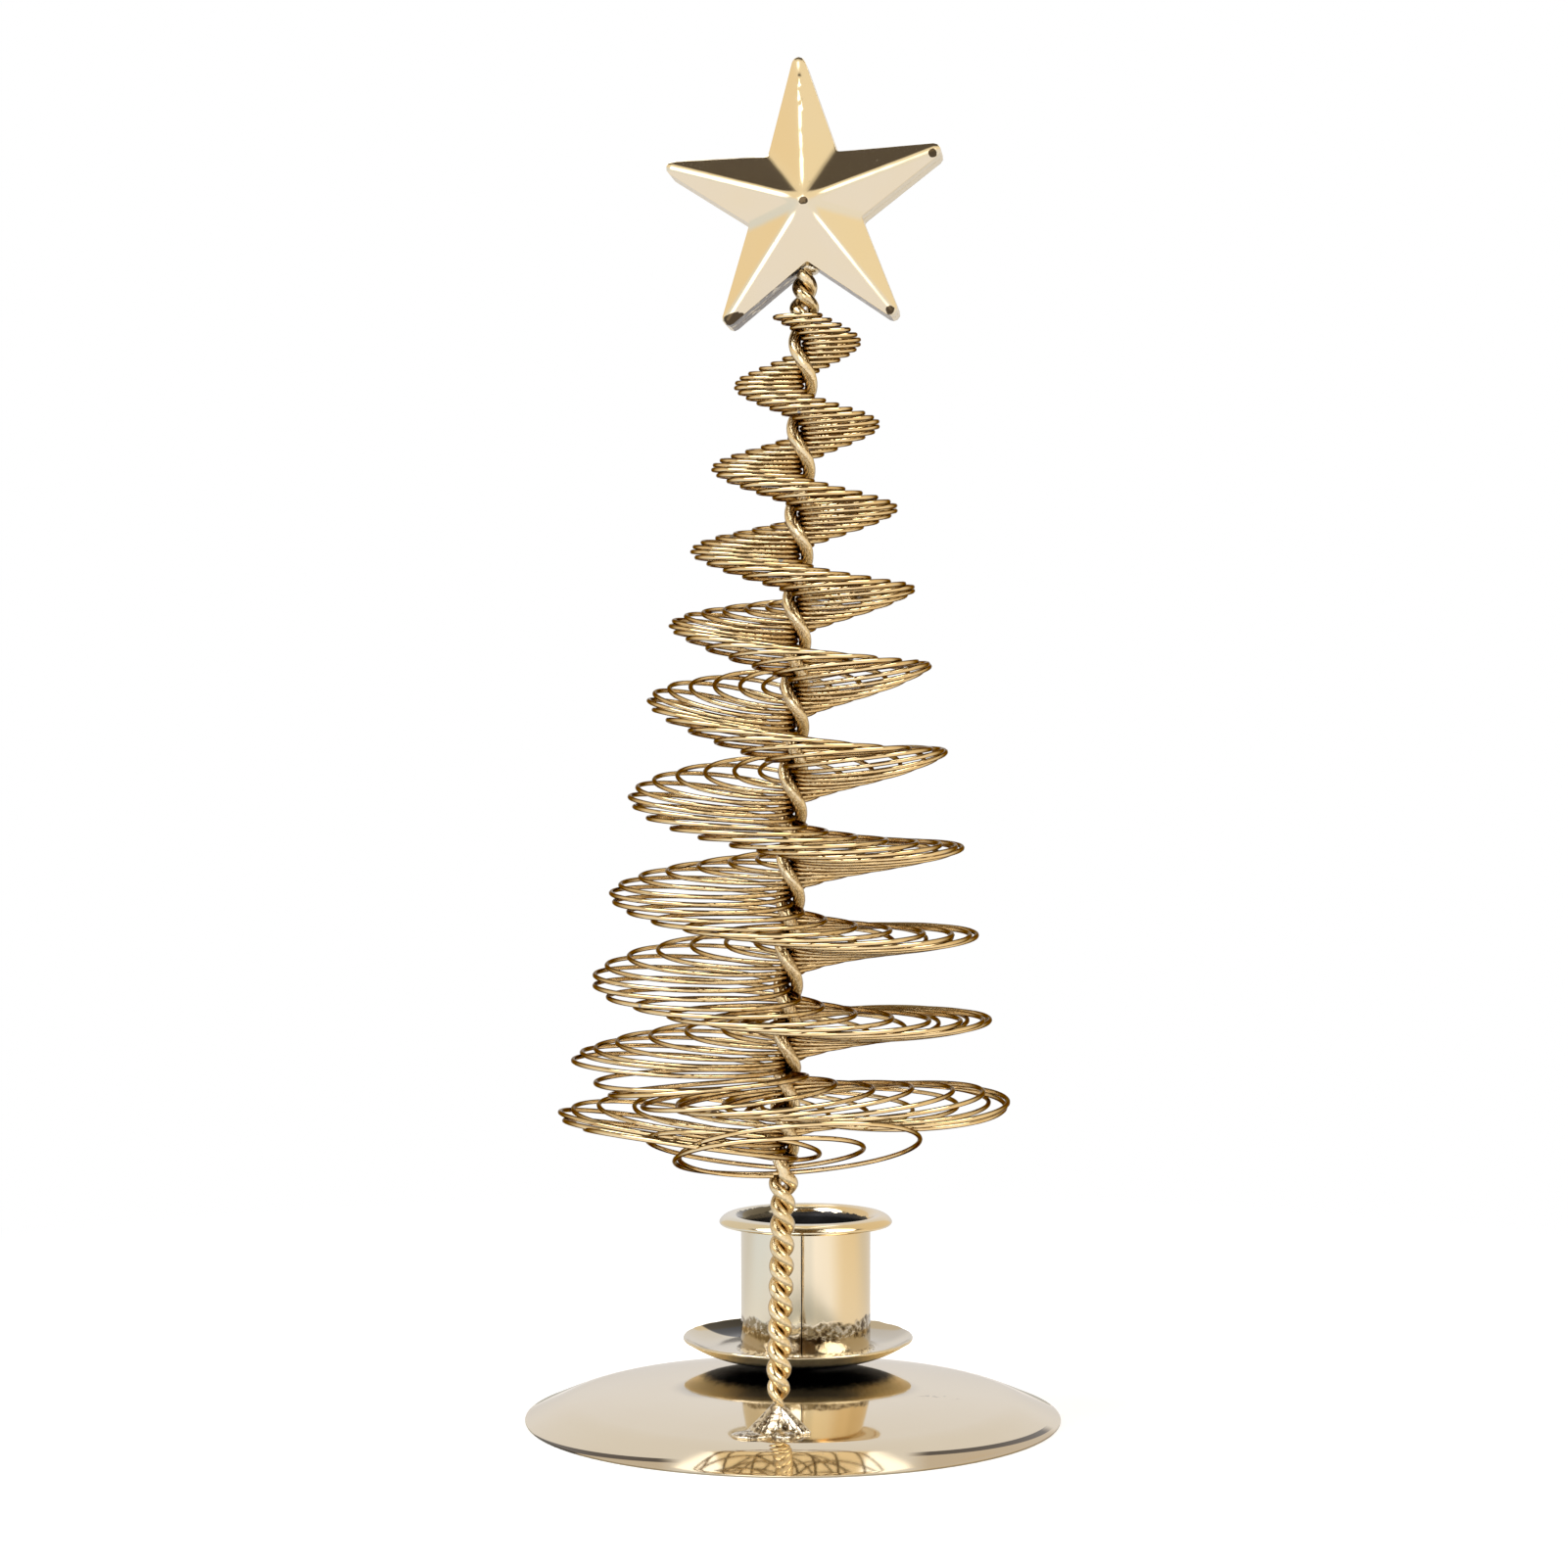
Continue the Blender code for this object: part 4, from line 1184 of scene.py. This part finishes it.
def star_braze(finish):
    """Lump of weld in the star's lowest notch, round the stem's upper end."""
    notch = stem_axis(STAR_HEIGHT) + star_turn().to_3x3() @ Vector((0.0, 0.0, -STAR_NOTCH_RADIUS))
    lumps = [
        blob(notch + Vector((-0.3, 0.0, -0.6)) * MM, (1.5, 2.0, 1.0)),
        blob(notch + Vector((0.7, -0.6, -0.9)) * MM, (1.2, 1.5, 0.9)),
        blob(notch + Vector((0.2, 0.9, -1.0)) * MM, (1.6, 1.3, 0.9)),
    ]
    piece = welded(lumps, 4)
    finish_piece(piece, "star_braze", finish, "weld", "star_weld", angle=60.0)


def studio_floor():
    """Pale floor that fades into the white background; the metal mirrors a tinted one, with painted
    shade round the object.
    """
    deselect()
    bpy.ops.mesh.primitive_plane_add(size=8.0, location=(0.0, 0.0, -0.02 * MM))
    floor = bpy.context.object
    floor.name = "studio_floor"
    finish, nodes = new_finish("pale_floor")
    spot = nodes.place()
    distance = nodes.vectors("LENGTH", spot)
    side = nodes.part(spot, "X")
    depth = nodes.part(spot, "Y")
    shade = nodes.colours(side.step(-0.02, -0.20) * 0.9, (1.04, 1.0, 0.98), (0.80, 0.90, 1.04))
    shade = shade.mix(side.step(0.02, 0.20) * 0.9, (0.92, 0.78, 0.54))
    shade = shade.mix(depth.step(-0.05, -0.35), (1.25, 1.17, 1.05))
    shade = shade.mix(depth.step(-0.34, -0.46), (1.04, 1.04, 1.12))
    shade = shade.mix(depth.step(0.03, 0.12), (0.76, 0.74, 0.73))
    # Painted shade round the object, seen only in the metal's reflections
    shade = shade.mix(distance.step(0.080, 0.060), (0.42, 0.41, 0.36))
    lift = nodes.glow((*WHITE, 1.0), nodes.ray("Is Camera Ray") * 0.12)
    paint = nodes.add("ShaderNodeBsdfDiffuse", {}, {"Color": (0.88, 0.88, 0.88, 1.0)})
    lit = nodes.add("ShaderNodeAddShader", {}, {0: paint, 1: lift})
    white = nodes.glow((*WHITE, 1.0))
    faded = nodes.add("ShaderNodeMixShader", {}, {0: distance.step(0.10, 0.32), 1: lit, 2: white})
    tinted = nodes.glow(shade)
    mirrored = nodes.ray("Is Glossy Ray") * 0.85
    blend = nodes.add("ShaderNodeMixShader", {}, {0: mirrored, 1: faded, 2: tinted})
    nodes.add("ShaderNodeOutputMaterial", {}, {"Surface": blend})
    floor.data.materials.append(finish)
    deselect()


def studio_surroundings():
    """White all round for the camera, and a tinted room that only polished metal finds."""
    world = bpy.data.worlds.new("studio")
    world.use_nodes = True
    bpy.context.scene.world = world
    nodes = Nodes(world.node_tree)
    way = nodes.add("ShaderNodeTexCoord", {}, {}, output="Generated")
    across, along, up = (nodes.part(way, axis) for axis in "XYZ")
    to_camera = along.step(0.15, -0.15)
    aside = across / along.most(0.05)

    # Behind the object: grey, with tinted sides and a warm strip between bright ones overhead
    backdrop = nodes.colours(up.step(0.0, 0.25), (0.78, 0.76, 0.75), (0.88, 0.87, 0.88))
    backdrop = backdrop.mix(aside.step(0.44, 0.48), (0.90, 0.78, 0.58))
    backdrop = backdrop.mix(aside.step(-0.44, -0.48), (0.86, 0.76, 0.60))
    above = nodes.colours(aside.size().step(0.24, 0.26), (1.0, 0.80, 0.50), (1.9, 1.85, 1.75))
    above = above.mix(aside.size().step(0.38, 0.40), (0.88, 0.76, 0.55))
    backdrop = backdrop.mix(up.step(0.775, 0.80), above)

    # Before the object: pale low down, warmer above, tinted sides, dark ceiling and softboxes
    front = nodes.colours(up.step(0.10, 0.28), (1.02, 1.02, 1.04), (1.08, 0.97, 0.75))
    left = nodes.colours(up.step(0.12, 0.30), (0.84, 0.93, 1.06), (1.04, 0.88, 0.62))
    front = front.mix(across.step(-0.25, -0.8) * 0.9, left)
    front = front.mix(across.step(0.25, 0.8) * 0.9, (1.0, 0.88, 0.68))
    front = front.mix(up.step(0.46, 0.56), (0.12, 0.10, 0.08))
    for towards, near, brightness in SOFTBOXES:
        nearness = nodes.vectors("DOT_PRODUCT", way, towards)
        lit = nearness.step(near - SOFTBOX_BLUR, near + SOFTBOX_BLUR)
        front = front.mix(lit, brightness)

    # White for the camera, even grey for soft light, and the room for mirrors
    seen = nodes.ray("Is Camera Ray")
    shown = seen.most(nodes.ray("Is Glossy Ray")).most(nodes.ray("Is Transmission Ray"))
    room = nodes.colours(to_camera, backdrop, front)
    room = room.mix(seen, WHITE)
    room = nodes.colours(shown, (0.55, 0.55, 0.55), room)
    background = nodes.add("ShaderNodeBackground", {}, {"Color": room, "Strength": 1.0})
    nodes.add("ShaderNodeOutputWorld", {}, {"Surface": background})


def soft_lamp(name, place, size, watts, colour):
    """A large soft lamp turned towards the middle of the object."""
    lamp = bpy.data.lights.new(name, "AREA")
    lamp.shape = "DISK"
    lamp.size = size
    lamp.energy = watts
    lamp.color = colour
    stand = placed(name, lamp)
    stand.location = place
    away = Vector(place) - Vector((0.0, 0.0, 0.12))
    stand.rotation_euler = away.to_track_quat("Z", "Y").to_euler()
    stand.visible_glossy = False


def camera():
    """Camera in the photograph's place, level and without shift."""
    lens = bpy.data.cameras.new("camera")
    lens.sensor_width = SENSOR_WIDTH
    lens.lens = FOCAL_PIXELS / PHOTO_WIDTH * SENSOR_WIDTH
    lens.clip_start = 0.01
    stand = placed("camera", lens)
    stand.location = CAMERA_PLACE
    stand.rotation_euler = (math.pi / 2, 0.0, 0.0)
    bpy.context.scene.camera = stand


def main():
    """Build every piece, then the room round them."""
    base_dome(base_plating())
    tray_dish(tray_plating())
    cup_wall(cup_plating())
    cup_braze(weld_plating("cup_braze_metal", 0.7))
    stem_strand("stem_strand_a", "stem_wire_a", -1.0, wire_plating("stem_a_metal"))
    stem_strand("stem_strand_b", "stem_wire_b", 1.0, wire_plating("stem_b_metal"))
    foot_splay(weld_plating("foot_metal", 0.9, FOOT_GOLD, 0.7 * MM))
    tree_coil(coil_plating())
    star_half("star_face", "star_front", 0.0, star_plating("star_face_metal"))
    star_half("star_rear", "star_back", math.pi, star_plating("star_rear_metal"))
    star_braze(weld_plating("star_braze_metal", 0.3))
    tray_braze(weld_plating("tray_braze_metal", 0.9))

    studio_floor()
    studio_surroundings()
    soft_lamp("key_lamp", (-0.45, -0.35, 0.95), 0.5, 9.0, (1.0, 0.98, 0.95))
    soft_lamp("fill_lamp", (0.55, -0.25, 0.80), 0.45, 6.0, (1.0, 0.95, 0.88))
    camera()
    bpy.context.scene.view_settings.view_transform = "Standard"


main()
